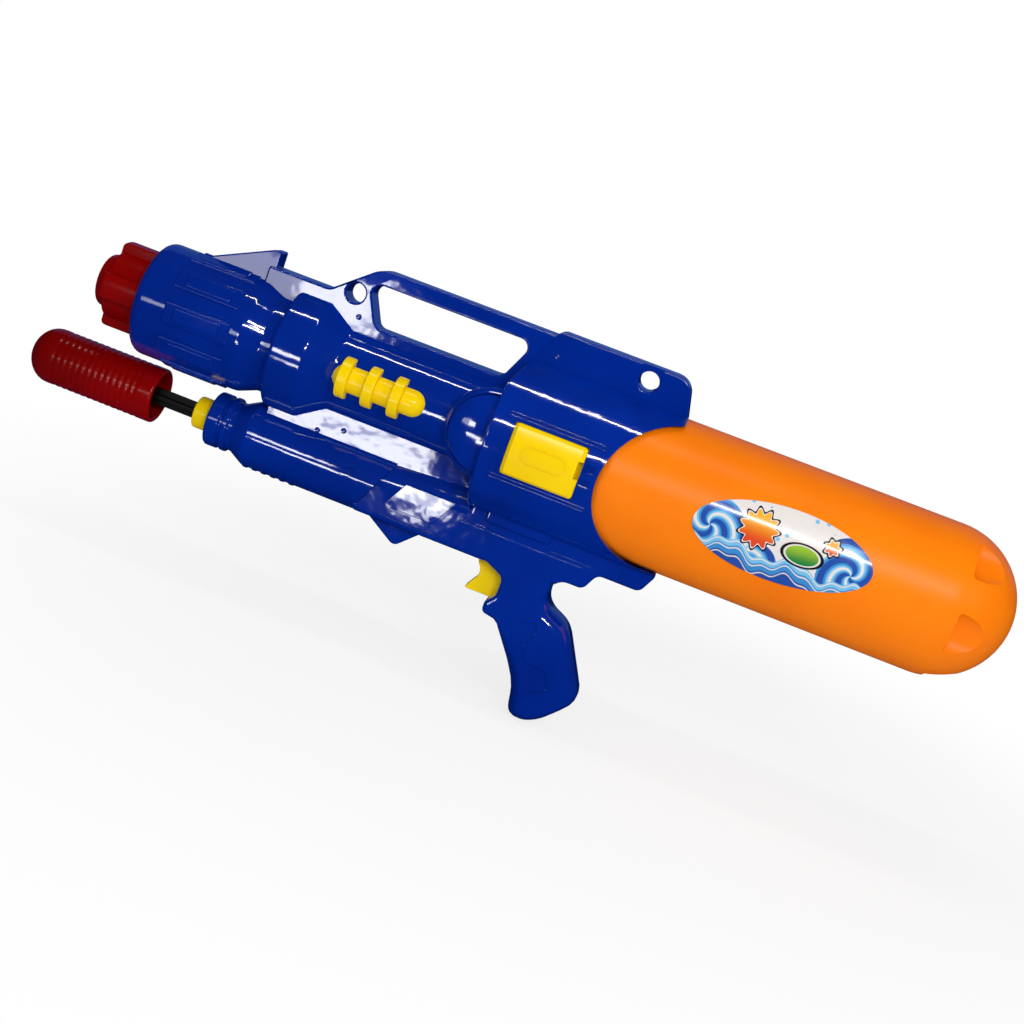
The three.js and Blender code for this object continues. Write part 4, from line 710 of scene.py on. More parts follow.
@dataclass(frozen=True)
class Print:
    """A generic sticker: two suns and a green disc over curling waves with drops, on a white ground.

    The motifs' places and sizes are in mm from the sticker's centre.
    """

    name: str
    centre: Point
    paper: Colour = srgb(228, 222, 218)
    pale: Colour = srgb(120, 190, 232)
    water: Colour = srgb(60, 140, 205)
    deep: Colour = srgb(38, 78, 165)
    ink: Colour = srgb(22, 20, 26)
    amber: Colour = srgb(244, 172, 20)
    scarlet: Colour = srgb(222, 70, 34)
    lime: Colour = srgb(150, 190, 50)
    green: Colour = srgb(28, 128, 60)
    drop_scale: float = 150.0
    curls: tuple[tuple[float, ...], ...] = (
        (-46.0, -3.0, 21.0, 3.0),
        (45.0, -2.0, 22.0, -3.0),
        (-12.0, -19.0, 15.0, -2.0),
    )
    levels: tuple[float, ...] = (-9.0, -13.0, -18.0)
    foam: Point = (1.0, 1.8)
    edge: float = 0.3

    def make(self) -> bpy.types.Material:
        """Builds the material."""
        r = Recipe(self.name)
        x, _, z = r.axes()
        u = (x - self.centre[0]) / MM
        v = (z - self.centre[1]) / MM
        swell = (u * 0.16).sine() * 3.0
        chop = (u * 0.42 + v * 0.1).sine() * 1.4
        art: object = self.paper
        drops = r.node("ShaderNodeTexVoronoi", {"feature": "F1"}, Vector=r.place, Scale=self.drop_scale)
        dots = r.flow(drops.outputs["Distance"]).step(0.24, 0.18)
        art = r.mix(dots * v.step(-2.0, 4.0), art, self.pale)
        for across, up, radius, arms in self.curls:
            art = self.swirl(r, art, u - across, v - up, radius, arms)
        for level, colour in zip(self.levels, (self.pale, self.water, self.deep)):
            line = v - swell - chop - level
            art = r.mix(line.step(self.edge, -self.edge), art, colour)
            crest = (line + self.foam[0]).step(self.edge, -self.edge)
            art = r.mix(crest * (line + self.foam[1]).step(-self.edge, self.edge), art, self.paper)
        sun = (self.amber, self.scarlet)
        art = self.disc(r, art, u + 17.0, v - 5.0, 12.5, sun, 11)
        wide, high = (u - 13.0) * 0.6 + v * 0.2, v * 1.1 - u * 0.12 + 2.6
        art = self.disc(r, art, wide, high, 8.5, (self.lime, self.green), 0)
        art = self.disc(r, art, u - 29.0, v - 10.0, 6.0, sun, 7)
        shine = r.noise(500.0, 3.0)
        r.set(Base_Color=art, Roughness=0.12 + shine * 0.08, Coat_Weight=0.6, Coat_Roughness=0.05)
        return r.material

    def swirl(
        self, r: Recipe, under: object, u: Flow, v: Flow, radius: float, arms: float
    ) -> bpy.types.NodeSocket:
        """Draws a curling wave.

        Args:
            r: The material.
            under: The colour beneath.
            u: Distance across from its middle, in mm.
            v: Distance up from its middle, in mm.
            radius: Its radius, in mm.
            arms: Count of arms, negative for the other way round.

        Returns:
            The colour with the wave on it.
        """
        reach = (u * u + v * v).root()
        wave = (reach * 0.5 + v.maths("ARCTAN2", v, u) * arms).sine()
        tone = r.mix(wave.step(-0.55, -0.4), self.deep, self.water)
        tone = r.mix(wave.step(0.2, 0.35), tone, self.pale)
        tone = r.mix(wave.step(0.8, 0.9), tone, self.paper)
        return r.mix((reach + wave * 1.6).step(radius, radius - 0.5), under, tone)

    def disc(
        self,
        r: Recipe,
        under: object,
        u: Flow,
        v: Flow,
        radius: float,
        colours: tuple[Colour, Colour],
        rays: int,
    ) -> bpy.types.NodeSocket:
        """Draws a round motif with a dark edge and a pale ring.

        Args:
            r: The material.
            under: The colour beneath.
            u: Distance across from its middle, in mm.
            v: Distance up from its middle, in mm.
            radius: Its radius, in mm.
            colours: Colours at its top and bottom.
            rays: Count of points round it, or 0 for a plain edge.

        Returns:
            The colour with the motif on it.
        """
        reach = (u * u + v * v).root()
        if rays:
            reach = reach - (v.maths("ARCTAN2", v, u) * rays).sine() * (radius * 0.13)
        fill = r.mix(v.step(radius * 0.7, -radius * 0.7), *colours)
        art = r.mix(reach.step(radius + 0.2, radius - 0.2), under, self.ink)
        art = r.mix(reach.step(radius - 1.1, radius - 1.5), art, self.paper)
        return r.mix(reach.step(radius - 1.9, radius - 2.3), art, fill)


@dataclass
class Palette:
    """All finishes by the record's slot names."""

    made: dict[str, bpy.types.Material] = field(default_factory=dict)

    def mix(self) -> None:
        """Builds every material once."""
        label = middle("tank_label")
        finishes = {
            "blue": Plastic("blue_gloss", srgb(0, 42, 150), srgb(0, 35, 132), 0.08, 0.38, 0.6),
            "red": Plastic("red_gloss", srgb(138, 0, 0), srgb(114, 0, 0), 0.18, 0.05, 0.0, 0.2),
            "yellow": Plastic("yellow_gloss", srgb(250, 214, 0), srgb(243, 202, 0), 0.2, 0.05, 0.0, 0.2),
            "orange": Plastic("orange_satin", srgb(250, 128, 0), srgb(244, 118, 0), 0.34, 0.03, 0.0, 0.14),
            "black": Plastic("black_satin", srgb(9, 10, 11), srgb(5, 6, 7), 0.4, 0.03, 0.0, 0.15),
            "white": Plastic("natural_plastic", srgb(232, 231, 224), srgb(222, 219, 208), 0.42, 0.02),
            "hose": Plastic("milky_hose", srgb(220, 224, 218), srgb(204, 212, 208), 0.34, 0.03),
            "rubber": Rubber("seal_rubber", srgb(32, 32, 36), srgb(58, 58, 60)),
            "steel": Metal("bright_steel", srgb(196, 198, 202), srgb(128, 126, 122)),
            "print": Print("sticker_print", (label.x, label.z)),
        }
        self.made = {slot: finish.make() for slot, finish in finishes.items()}

    def dress(self, obj: Shape, slot: str) -> None:
        """Puts a slot's material on all of an object."""
        obj.data.materials.clear()
        obj.data.materials.append(self.made[slot])


@dataclass
class Crew:
    """Finishes pieces and ties them to bodies and CAD nodes."""

    palette: Palette
    slots: dict[str, str] = field(default_factory=dict)

    def __post_init__(self) -> None:
        """Reads each node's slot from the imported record."""
        self.slots = {part["node"]: part["material_slot"] for part in frame["record"]["subparts"]}

    def stand_in(self, obj: Shape, node: str, body: str) -> None:
        """Lets a settled piece stand for a CAD node on a body."""
        slot = self.slots[node]
        self.palette.dress(obj, slot)
        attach(obj, body)
        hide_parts(node)
        LOG.info("%s stands for %s: %d faces", obj.name, node, len(obj.data.polygons))

    def keep_nodes(self) -> None:
        """Dresses every CAD node that stays in view."""
        for name, obj in frame["nodes"].items():
            if not obj.hide_render:
                self.palette.dress(obj, self.slots[name])
                LOG.info("%s keeps its CAD shape", name)


@dataclass
class Stations:
    """Places and sizes that several sub-assemblies share, in mm from the trigger pin and the barrel line.

    A body that joins or cuts another reaches past it by over, and far lies beyond the whole squirter.
    """

    housing: float = -28.0
    shoulder: float = -138.0
    drum_rear: float = -157.0
    drum_front: float = -180.0
    neck: float = -188.0
    collar_rear: float = -201.0
    collar_front: float = -277.0
    sight_rear: float = -200.0
    fin_rear: float = 86.0
    skirt_rear: float = 103.0
    mouth: float = 96.0
    tube_rear: float = -90.0
    tube_front: float = -212.0
    pump: float = -62.3
    pump_rim: float = -251.7
    pump_front: float = -345.4
    nozzle_front: float = -312.0
    nozzle_rear: float = -262.0
    tank: float = 2.6
    tank_shoulder: float = 47.6
    dome: float = 273.5
    pin: Point = (0.0, -72.0)
    valve: float = -60.0
    cover: float = -12.0
    cover_length: float = 48.0
    cover_half: float = 17.0
    cover_inner: float = 47.15
    cover_lip: float = 2.5
    trim: float = -128.6
    trim_pitch: float = 18.2
    rod_room: float = 6.2
    over: float = 5.0
    far: float = 400.0

    def trim_pegs(self) -> Point:
        """Stations of the two pegs that hold a trim to the barrel."""
        return self.trim, self.trim + 2 * self.trim_pitch


AT = Stations()


@dataclass
class Casing:
    """The two halves of the blue casing."""

    wall: float = 2.2
    parting: float = 0.3
    barrel_r: float = 29.5
    drum_r: float = 41.0
    neck_r: float = 33.5
    collar_r: float = 38.8
    collar_round: float = 6.5
    pad_count: int = 10
    pad_tiers: tuple[tuple[float, ...], ...] = ((-254.0, -208.0, 7.2, 39.5), (-247.0, -215.0, 5.0, 40.5))
    pad_foot: float = 30.0
    pad_edge: float = 1.1
    sight_front: float = -258.0
    sight_top: float = 59.0
    sight_lip: float = 5.0
    sight_half: float = 7.5
    bulge_r: float = 30.0
    bulge_edge: float = 33.0
    bulge_reach: float = 45.0
    bulge_line: Point = (25.6, 26.6)
    bulge_line_reach: Point = (36.0, 48.0)
    handle_half: float = 10.0
    handle_top: float = 72.0
    handle_edge: float = 1.4
    handle_lead: float = 5.0
    handle_run: float = 29.0
    bar: float = 10.0
    web_top: float = 48.3
    opening_floor: float = 34.5
    opening_rear: float = 8.0
    opening_slant: float = 13.0
    opening_round: float = 6.0
    fin_half: float = 11.0
    fin_edge: float = 1.3
    fin_top: float = 75.3
    fin_round: float = 12.0
    fin_slant: float = 18.0
    fin_foot: float = 36.0
    fin_groove: Point = (46.6, 62.0)
    fin_groove_foot: float = 66.0
    hole_r: float = 6.6
    hole_front: Point = (-144.6, 51.6)
    hole_rear: Point = (54.3, 65.1)
    housing_r: float = 54.0
    housing_edge: float = 1.6
    tank_room: float = 51.3
    mouth_r: float = 49.0
    bead: float = 0.5
    bead_edge: float = 0.45
    bead_span: Point = (-18.0, 46.0)
    bead_rise: float = 19.4
    bead_rows: tuple[Point, ...] = ((0.5, 19.4), (0.5, -19.4), (-0.4, 21.9), (-0.4, -21.9))
    frame_beads: tuple[Place, ...] = (
        (-28.0, 57.0, -63.2),
        (-28.0, -11.5, -61.2),
        (34.0, 64.0, -60.2),
        (-86.0, -38.0, -78.9),
    )
    frame_bead_rise: float = 0.4
    tube_r: float = 23.0
    ring_r: float = 18.8
    groove_r: float = 17.0
    tube_slant: float = math.radians(27)
    rib_count: int = 6
    rib_first: float = -181.0
    rib_pitch: float = 6.75
    rib_width: float = 2.6
    rib_rise: float = 0.7
    rib_foot: float = 20.0
    web_half: float = 13.0
    frame_half: float = 17.0
    frame_top: float = -48.0
    brow: float = -57.3
    brow_rise: float = 4.6
    frame_round: float = 3.2
    spine_r: float = 17.6
    spine_lap: float = 2.7
    recess: float = 1.5
    tube_recess: tuple[Corner, ...] = (
        (-114.0, -62.8, 0.4),
        (-106.4, -61.6, 0.4),
        (-104.8, -55.0, 0.4),
        (-111.6, -56.2, 0.4),
    )
    window: Point = (37.6, 43.4)
    window_rows: Point = (4.8, -4.6)
    window_half: float = 2.2
    mark_r: float = 2.0
    mark_wall: float = 0.4
    mark_depth: float = 1.6
    frame_floor: float = -83.0
    frame_bottom: float = -116.0
    grip: Point = (20.0, -119.0)
    rake: float = math.radians(26)
    grip_round: float = 12.0
    front_growth: float = 24.0
    rear_growth: float = 18.0
    grip_proud: float = 0.02
    foot_round: float = 7.0
    grip_foot: float = 67.1
    grip_core: float = 20.0
    grip_clear: float = 90.0
    grip_wall: float = 6.0
    grip_room: tuple[Point, ...] = (
        (7.0, -20.0),
        (7.0, -6.0),
        (9.5, 40.0),
        (5.0, 59.0),
        (32.0, 54.0),
        (32.0, 14.0),
        (25.0, -20.0),
    )
    stub: float = 14.0
    heel: tuple[Point, ...] = ((32.0, -100.0), (32.0, -79.0), (43.0, -79.0), (60.0, -100.0))
    heel_room: Point = (22.0, -80.0)
    neck_depth: float = 8.0
    neck_rear: float = 37.0
    neck_drop: float = -26.0
    neck_lap: float = 0.4
    neck_drops: tuple[float, ...] = (
        *(-34.0, -30.0, -26.0, -22.0, -18.0, -15.0),
        *(-12.0, -9.0, -6.0, -4.0, -1.0),
    )
    grip_drops: tuple[float, ...] = (
        *(-4.0, -1.0, 3.0, 6.0, 9.0, 13.0, 18.0, 24.0, 30.0, 37.0, 44.0, 50.0, 54.0),
        *(57.0, 59.5, 61.5, 63.2, 64.6, 65.6, 66.3, 66.8),
    )
    sunk: float = 0.9
    panel: tuple[Point, ...] = (
        (5.0, -2.0),
        (24.7, 0.0),
        (23.6, 7.0),
        (14.0, 16.0),
        (13.7, 25.6),
        (26.7, 33.0),
        (26.6, 46.0),
        (7.5, 49.0),
    )
    lug_half: float = 9.0
    plate_drop: float = 24.0
    plate_height: float = 19.0
    plate_rise: float = 1.0
    box: Point = (-14.0, 32.0)
    box_height: float = 9.0
    box_rise: float = 3.0
    nozzle_bore: float = 30.3
    nozzle_depth: float = 14.0
    gland_bore: float = 11.3
    gland_depth: float = 2.8
    cylinder_bore: float = 14.8
    cylinder_front: float = 2.5
    cylinder_rear: float = -80.0
    tank_bore: float = 51.15
    tank_seat: float = 21.0
    valve_bore: float = 9.3
    valve_span: Point = (-52.3, -12.0)
    slot: tuple[Point, ...] = (
        (-18.0, -108.0),
        (22.0, -108.0),
        (22.0, -49.5),
        (-16.0, -49.5),
        (-18.0, -86.5),
    )
    slot_half: float = 5.6
    opening_half: float = 16.0
    play: float = 0.3
    cover_seat: float = 2.3
    peg_bore: float = 2.8
    peg_reach: Point = (23.5, 38.0)
    boss_r: float = 4.5
    boss_reach: float = 60.0
    pin_bore: float = 2.3
    pin_half: float = 14.3
    wells: tuple[Place, ...] = ((5.0, 70.0, 3.6), (-5.0, 6.0, 1.7))
    pilots: tuple[Place, ...] = ((-7.3, 5.0, 1.7),)
    well_steps: tuple[int, ...] = (32, 24)
    pilot_steps: tuple[int, ...] = (24,)

    @staticmethod
    def screws() -> list[Point]:
        """Places of the casing screws."""
        spots = [(middle(n) - DATUM) / MM for n in frame["nodes"] if n.startswith("casing_screw_")]
        return [(spot.x, spot.z) for spot in spots]

    def barrel(self, wall: float) -> Shape:
        """Collar, neck, drum and barrel as one turned form."""
        rounds = 0.0 if wall else 1.0
        corners = [
            (AT.collar_front + wall, 0.0, 0.0),
            (AT.collar_front + wall, self.collar_r - wall, self.collar_round),
            (AT.collar_rear, self.collar_r - wall, 9.0 * rounds),
            (AT.neck, self.neck_r - wall, 3.0 * rounds),
            (AT.drum_front + wall, self.neck_r - wall, 1.5 * rounds),
            (AT.drum_front + wall, self.drum_r - wall, 3.0 * rounds),
            (AT.drum_rear, self.drum_r - wall, 3.5 * rounds),
            (AT.shoulder, self.barrel_r - wall, 5.0 * rounds),
            (AT.housing + AT.over, self.barrel_r - wall, 0.0),
            (AT.housing + AT.over, 0.0, 0.0),
        ]
        return Bench.lathe(rounded(corners, False), steps=steps_round(wall, 128))

    def pads(self) -> list[Shape]:
        """Stepped finger pads round the collar."""
        made = []
        for front, rear, half, top in self.pad_tiers:
            pad = Bench.block((front, -half, self.pad_foot), (rear, half, top))
            Bench.soften(pad, self.pad_edge, 4)
            made += Bench.round_copies(pad, self.pad_count, math.pi / 2)
        return made

    def sight(self, wall: float) -> Shape:
        """The raked front sight."""
        foot = self.collar_r - 2 * self.wall
        corners = [
            (self.sight_front, foot, 0.0),
            (AT.sight_rear, foot, 0.0),
            (AT.sight_rear, self.sight_top, 1.2),
            (AT.sight_rear - self.sight_lip, self.sight_top, 3.0),
        ]
        half = self.sight_half - wall
        made = Bench.slab(rounded(drawn_in(corners, wall)), -half, half)
        return made if wall else Bench.soften(made, 1.0)

    def opening(self, wall: float) -> list[Corner]:
        """Outline of the carrying handle's opening."""
        top = self.handle_top - self.bar
        rear = AT.housing - self.opening_rear
        corners = [
            (AT.shoulder, top, self.opening_round),
            (AT.shoulder + self.opening_slant, self.opening_floor, self.opening_round),
            (rear, self.opening_floor, self.opening_round),
            (rear + self.opening_slant, top, self.opening_round),
        ]
        return drawn_in(corners, -wall) if wall else corners

    def handle(self, wall: float) -> Shape:
        """The carrying handle and the flat web below it."""
        foot = self.barrel_r - 4 * self.wall
        front = AT.sight_rear - AT.over
        rise = AT.drum_rear - self.handle_lead
        corners = [
            (front, foot, 0.0),
            (AT.housing + self.fin_slant, foot, 0.0),
            (AT.housing + self.fin_slant, self.handle_top, 0.0),
            (rise + self.handle_run, self.handle_top, 3 * self.opening_round),
            (rise, self.web_top, self.opening_round),
            (front, self.web_top, 0.0),
        ]
        half = self.handle_half - wall
        made = Bench.slab(rounded(drawn_in(corners, wall)), -half, half)
        far = self.handle_half + AT.over
        Bench.cut(
            made,
            Bench.slab(rounded(self.opening(wall)), -far, far),
            Bench.rod(-far, far, self.hole_r + wall, self.hole_front),
        )
        return made if wall else Bench.soften(made, self.handle_edge)

    def housing_corners(self) -> list[Corner]:
        """Side outline of the housing with its fin."""
        low = -self.housing_r - AT.over
        return [
            (AT.housing, low, 0.0),
            (AT.skirt_rear, low, 0.0),
            (AT.skirt_rear, 0.0, 0.0),
            (AT.fin_rear, 0.0, 0.0),
            (AT.fin_rear, self.fin_top - 2 * self.fin_round, self.fin_round),
            (AT.fin_rear - self.fin_round / 2, self.fin_top, self.fin_round),
            (AT.housing + self.fin_slant, self.fin_top, self.fin_round / 2),
            (AT.housing, self.fin_foot, self.fin_round / 3),
        ]

    @staticmethod
    def drum(r: float, low: float, high: float, z: float = 0.0) -> Shape:
        """A plain round bar along the barrel line, or along a line at another height."""
        return Bench.lathe(plain_bar(low, high, r), at=(0.0, 0.0, z), steps=128)

    @staticmethod
    def lower_half() -> Shape:
        """A block that takes up all below the barrel line."""
        return Bench.block((-AT.far, -AT.far, -AT.far), (AT.far, AT.far, 0.0))

    def housing(self) -> Shape:
        """The round housing with its flat rear fin and the mouth that shows the tank."""
        far = self.housing_r + AT.over
        side = rounded(self.housing_corners())
        body = self.drum(self.housing_r, AT.housing - AT.over, AT.skirt_rear + AT.over)
        Bench.keep(body, Bench.slab(side, -far, far))
        Bench.soften(body, self.housing_edge)
        fin = Bench.slab(side, -self.fin_half, self.fin_half)
        Bench.cut(fin, Bench.rod(-far, far, self.hole_r, self.hole_rear), self.lower_half())
        Bench.soften(fin, self.fin_edge)
        front, rear = self.fin_groove
        groove = Bench.block((front, -far, self.fin_groove_foot), (rear, self.sunk - self.fin_half, AT.far))
        Bench.cut(fin, Bench.mirrored(groove), groove)
        Bench.unite(body, fin)
        hole = Bench.rod(-far, far, self.hole_r, self.hole_rear)
        return Bench.cut(body, Bench.rod(-far, far, self.mouth_r, (AT.mouth, 0.0), 128), hole)

    def housing_room(self) -> Shape:
        """The hollow inside the housing and its fin."""
        r = self.housing_r
        far = AT.skirt_rear + 2 * AT.over
        inner = rounded(drawn_in(self.housing_corners(), self.wall))
        shape = Bench.slab(inner, -r, r)
        start = AT.mouth - self.mouth_r
        Bench.unite(shape, Bench.block((start, -r, -r), (far, r, r)))
        room = Bench.keep(self.drum(self.tank_room, AT.housing, far), shape)
        half = self.fin_half - self.wall
        fin = Bench.slab(inner, -half, half)
        Bench.cut(fin, Bench.rod(-r, r, self.hole_r + self.wall, self.hole_rear), self.lower_half())
        return Bench.unite(room, fin)

    def beads(self) -> list[Shape]:
        """Fine raised lines along the housing and the lower frame."""
        made = []
        curve = math.sqrt(self.housing_r**2 - self.bead_rise**2)
        lines = [(*self.bead_span, curve + out, z) for out, z in self.bead_rows]
        side = self.frame_half + self.frame_bead_rise
        lines += [(front, rear, side, z) for front, rear, z in self.frame_beads]
        for front, rear, reach, z in lines:
            bead = Bench.block((front, -reach, z - self.bead), (rear, reach, z + self.bead))
            made.append(Bench.soften(bead, self.bead_edge, 4))
        return made

    def bulge(self, wall: float) -> Shape:
        """A domed boss through both sides where the barrel meets the housing."""
        r = self.bulge_r - wall
        reach = self.bulge_reach - wall
        edge = self.bulge_edge - wall
        centre = (AT.housing, 0.0, 0.0)
        half = [(edge + (reach - edge) * cos, r * sin) for cos, sin in quarter(12)]
        profile = [(-s, q) for s, q in half] + list(reversed(half))
        made = Bench.lathe(profile, Axis.Y, centre, steps_round(wall, 96))
        if wall:
            return made
        inner, outer = self.bulge_line
        low, high = self.bulge_line_reach
        ring = rounded([(low, inner, 0.3), (high, inner, 0.0), (high, outer, 0.0), (low, outer, 0.3)])
        for side in Side:
            groove = [(side.value * s, q) for s, q in ring]
            Bench.cut(made, Bench.lathe(groove, Axis.Y, centre, ring=True))
        return made

    def tube(self, wall: float) -> Shape:
        """The pump tube with its end rings and its slanting rear."""
        lean = (self.tube_r + AT.over) * math.tan(self.tube_slant)
        rear = AT.tube_rear + lean
        front = AT.tube_front
        if wall:
            corners = [
                (front + 18.0, 0.0, 0.0),
                (front + 18.0, self.groove_r - wall, 0.0),
                (front + 31.0, self.tube_r - wall, 0.0),
            ]
        else:
            corners = [
                (front, 0.0, 0.0),
                (front, self.ring_r, 2.0),
                (front + 9.0, self.ring_r, 1.2),
                (front + 9.0, self.groove_r, 0.6),
                (front + 11.5, self.groove_r, 0.6),
                (front + 11.5, self.ring_r, 1.2),
                (front + 15.5, self.ring_r, 1.2),
                (front + 15.5, self.groove_r, 0.6),
                (front + 19.0, self.groove_r, 3.0),
                (front + 30.0, self.tube_r, 6.0),
            ]
        corners += [(rear, self.tube_r - wall, 0.0), (rear, 0.0, 0.0)]
        made = Bench.lathe(rounded(corners, False), at=(0.0, 0.0, AT.pump), steps=steps_round(wall, 96))
        top = AT.pump + self.tube_r + AT.over
        low = AT.pump - self.tube_r - AT.over
        slant = [
            (front - AT.over, top, 0.0),
            (front - AT.over, low, 0.0),
            (AT.tube_rear - lean, low, 0.0),
            (AT.tube_rear + lean, top, 0.0),
        ]
        far = self.tube_r + AT.over
        return Bench.keep(made, Bench.slab(rounded(drawn_in(slant, wall)), -far, far))

    def tube_ribs(self) -> list[Shape]:
        """Grip ribs under the front of the tube."""
        made = []
        foot, top = self.rib_foot, self.tube_r + self.rib_rise
        half = self.web_half
        for i in range(self.rib_count):
            low = self.rib_first + self.rib_pitch * i
            high = low + self.rib_width
            ring = rounded([(low, foot, 0.0), (low, top, 0.6), (high, top, 0.6), (high, foot, 0.0)])
            rib = Bench.lathe(ring, at=(0.0, 0.0, AT.pump), ring=True)
            under = Bench.block((-AT.far, -half, -AT.far), (AT.far, half, AT.pump))
            made.append(Bench.keep(rib, under))
        return made

    def spine(self, wall: float) -> Shape:
        """The round shoulder that rises from the tube's rear end to the housing."""
        front, rear = AT.tube_rear - AT.over, AT.housing + self.spine_lap
        bar = plain_bar(front, rear - wall, self.spine_r - wall)
        made = Bench.lathe(bar, at=(0.0, 0.0, self.brow), steps=72)
        tilt = math.atan2(self.brow_rise, rear - front)
        return Bench.turn(made, -tilt, Axis.Y, (front, 0.0, self.brow))

    def windows(self) -> list[Shape]:
        """Shallow recesses, as cutting bodies: one on each side of the tube and two behind each cover."""
        far = self.housing_r + AT.over
        tube = Bench.slab(rounded(self.tube_recess, steps=2), -far, far)
        core = self.drum(self.tube_r - self.recess, AT.tube_front, AT.housing, AT.pump)
        made = [Bench.cut(tube, core)]
        front, rear = self.window
        for z in self.window_rows:
            window = Bench.block((front, -far, z - self.window_half), (rear, far, z + self.window_half))
            core = self.drum(self.housing_r - self.recess, front - AT.over, rear + AT.over)
            made.append(Bench.cut(window, core))
        return made

    def marks(self) -> list[Shape]:
        """Round dimples that the mould's pins leave, as cutting bodies."""
        spots = (
            (-6.5, 59.4, self.fin_half),
            (-137.5, 37.6, self.handle_half),
            (-139.0, -42.0, self.web_half),
            (-122.0, -36.0, self.web_half),
        )
        made = []
        for x, z, half in spots:
            out = -half - 1.0
            foot = self.mark_wall - half
            profile = [(out, 0.0), (out, self.mark_r), (foot, self.mark_r), (self.mark_depth - half, 0.0)]
            pin = Bench.lathe(profile, Axis.Y, (x, 0.0, z), 24)
            made += [Bench.mirrored(pin), pin]
        return made

    def web(self, wall: float) -> Shape:
        """The flat web between the barrel and the pump tube."""
        top = -self.barrel_r + 4 * self.wall
        corners = [
            (AT.drum_front + AT.over, top, 0.0),
            (AT.drum_front + AT.over, AT.pump, 0.0),
            (AT.housing + AT.over, AT.pump, 0.0),
            (AT.housing + AT.over, top, 0.0),
        ]
        half = self.web_half - wall
        return Bench.slab(rounded(drawn_in(corners, wall)), -half, half)

    def grip_point(self, depth: float, drop: float, radius: float = 0.0) -> Corner:
        """A point of the leaning grip, back by a depth and down by a drop."""
        x = self.grip[0] + depth * math.cos(self.rake) + drop * math.sin(self.rake)
        z = self.grip[1] + depth * math.sin(self.rake) - drop * math.cos(self.rake)
        return (x, z, radius)

    def frame_corners(self) -> list[Corner]:
        """Outline of the lower frame and the pistol grip."""
        slope = math.tan(self.tube_slant)
        front = AT.tube_rear + (self.brow - AT.pump) * slope - 3.0
        lean = (self.brow - self.frame_floor) * slope
        return [
            (front, self.brow, 0.0),
            (front - lean, self.frame_floor, 4.0),
            (-3.0, self.frame_floor, 4.0),
            (10.0, self.frame_floor - 6.0, 6.0),
            (10.0, -102.0, 6.0),
            (4.5, -108.0, 3.6),
            (4.5, -115.5, 3.6),
            self.grip_point(-3.0, -3.0, 6.0),
            self.grip_point(2.0, 42.0, 42.0),
            self.grip_point(-6.0, self.grip_foot, 9.0),
            self.grip_point(22.0, self.grip_foot, 18.0),
            self.grip_point(46.0, 57.0, 12.0),
            self.grip_point(44.0, 6.0, 22.0),
            (42.0, -96.5, 14.0),
            (42.0, -76.5, 10.0),
            (62.0, -76.5, 6.0),
            (68.0, -64.4, 6.0),
            (97.0, -64.4, 6.0),
            (AT.skirt_rear, -52.4, 6.0),
            (AT.skirt_rear, self.frame_top, 0.0),
            (AT.housing + self.spine_lap, self.frame_top, 0.0),
            (AT.housing + self.spine_lap, self.brow + self.brow_rise, 0.0),
        ]

    def frame(self) -> Shape:
        """The lower frame with its grip."""
        made = Bench.slab(rounded(self.frame_corners(), steps=8), -self.frame_half, self.frame_half)
        Bench.cut(made, self.below_grip(self.stub, self.grip_clear))
        # Softened before the last cut, so that the edges which the grip covers stay plain.
        Bench.soften(made, self.frame_round, 4)
        Bench.cut(made, self.below_grip(0.0, self.stub, *self.heel))
        return self.finger_panel(Bench.unite(made, self.pistol_grip()))

    def below_grip(self, drop: float, depth: float, *rear: Point) -> Shape:
        """A cutting body under a level of the grip.

        Args:
            drop: The level, down the grip.
            depth: Where the level ends, back from the grip's front.
            *rear: Further points as (x, z) that close it behind.

        Returns:
            The cutting body.
        """
        far = self.grip_clear
        places = ((far, far), (-far, far), (-far, drop), (depth, drop))
        outline = [self.grip_point(*place)[:2] for place in places]
        return Bench.slab(outline + list(rear), -far, far)

    def grip_span(self, drop: float) -> Point:
        """Depths of the grip's front and rear at a drop."""
        cos, sin = math.cos(self.rake), math.sin(self.rake)
        line = []
        for x, z in rounded(self.frame_corners(), steps=8):
            dx, dz = x - self.grip[0], z - self.grip[1]
            line.append((dx * cos + dz * sin, dx * sin - dz * cos))
        hits = []
        for (d0, s0), (d1, s1) in zip(line, line[1:] + line[:1]):
            if (s0 - drop) * (s1 - drop) < 0:
                hits.append(d0 + (d1 - d0) * (drop - s0) / (s1 - s0))
        return max(h for h in hits if h < self.grip_core), min(h for h in hits if h > self.grip_core)

    def grip_ring(self, drop: float, neck: bool = False) -> list[Vector]:
        """A rounded section across the grip, whose corners grow rounder towards the foot.

        Args:
            drop: How far down the grip it lies.
            neck: Whether it is only the rear of a section inside the frame.

        Returns:
            The section's points.
        """
        front, rear = self.grip_span(drop)
        if neck:
            front = self.grip_core - self.neck_depth
            if drop <= self.neck_drop:
                rear = min(rear, self.neck_rear)
            elif drop > self.grip_drops[0]:
                rear -= self.neck_lap
        growth = self.grip_round - self.frame_round
        ahead = self.frame_round + growth * min(max(drop / self.front_growth, 0.0), 1.0)
        behind = self.frame_round + growth * min(max((drop - self.neck_drop) / self.rear_growth, 0.0), 1.0)
        lift = max(self.foot_round - (self.grip_foot - drop), 0.0)
        half = self.frame_half - self.foot_round + math.sqrt(self.foot_round**2 - lift**2) + self.grip_proud
        corners = [(front, -half, ahead), (rear, -half, behind), (rear, half, behind), (front, half, ahead)]
        ring = []
        for depth, y in rounded(corners):
            x, z, _ = self.grip_point(depth, drop)
            ring.append(Vector((x, y, z)))
        return ring

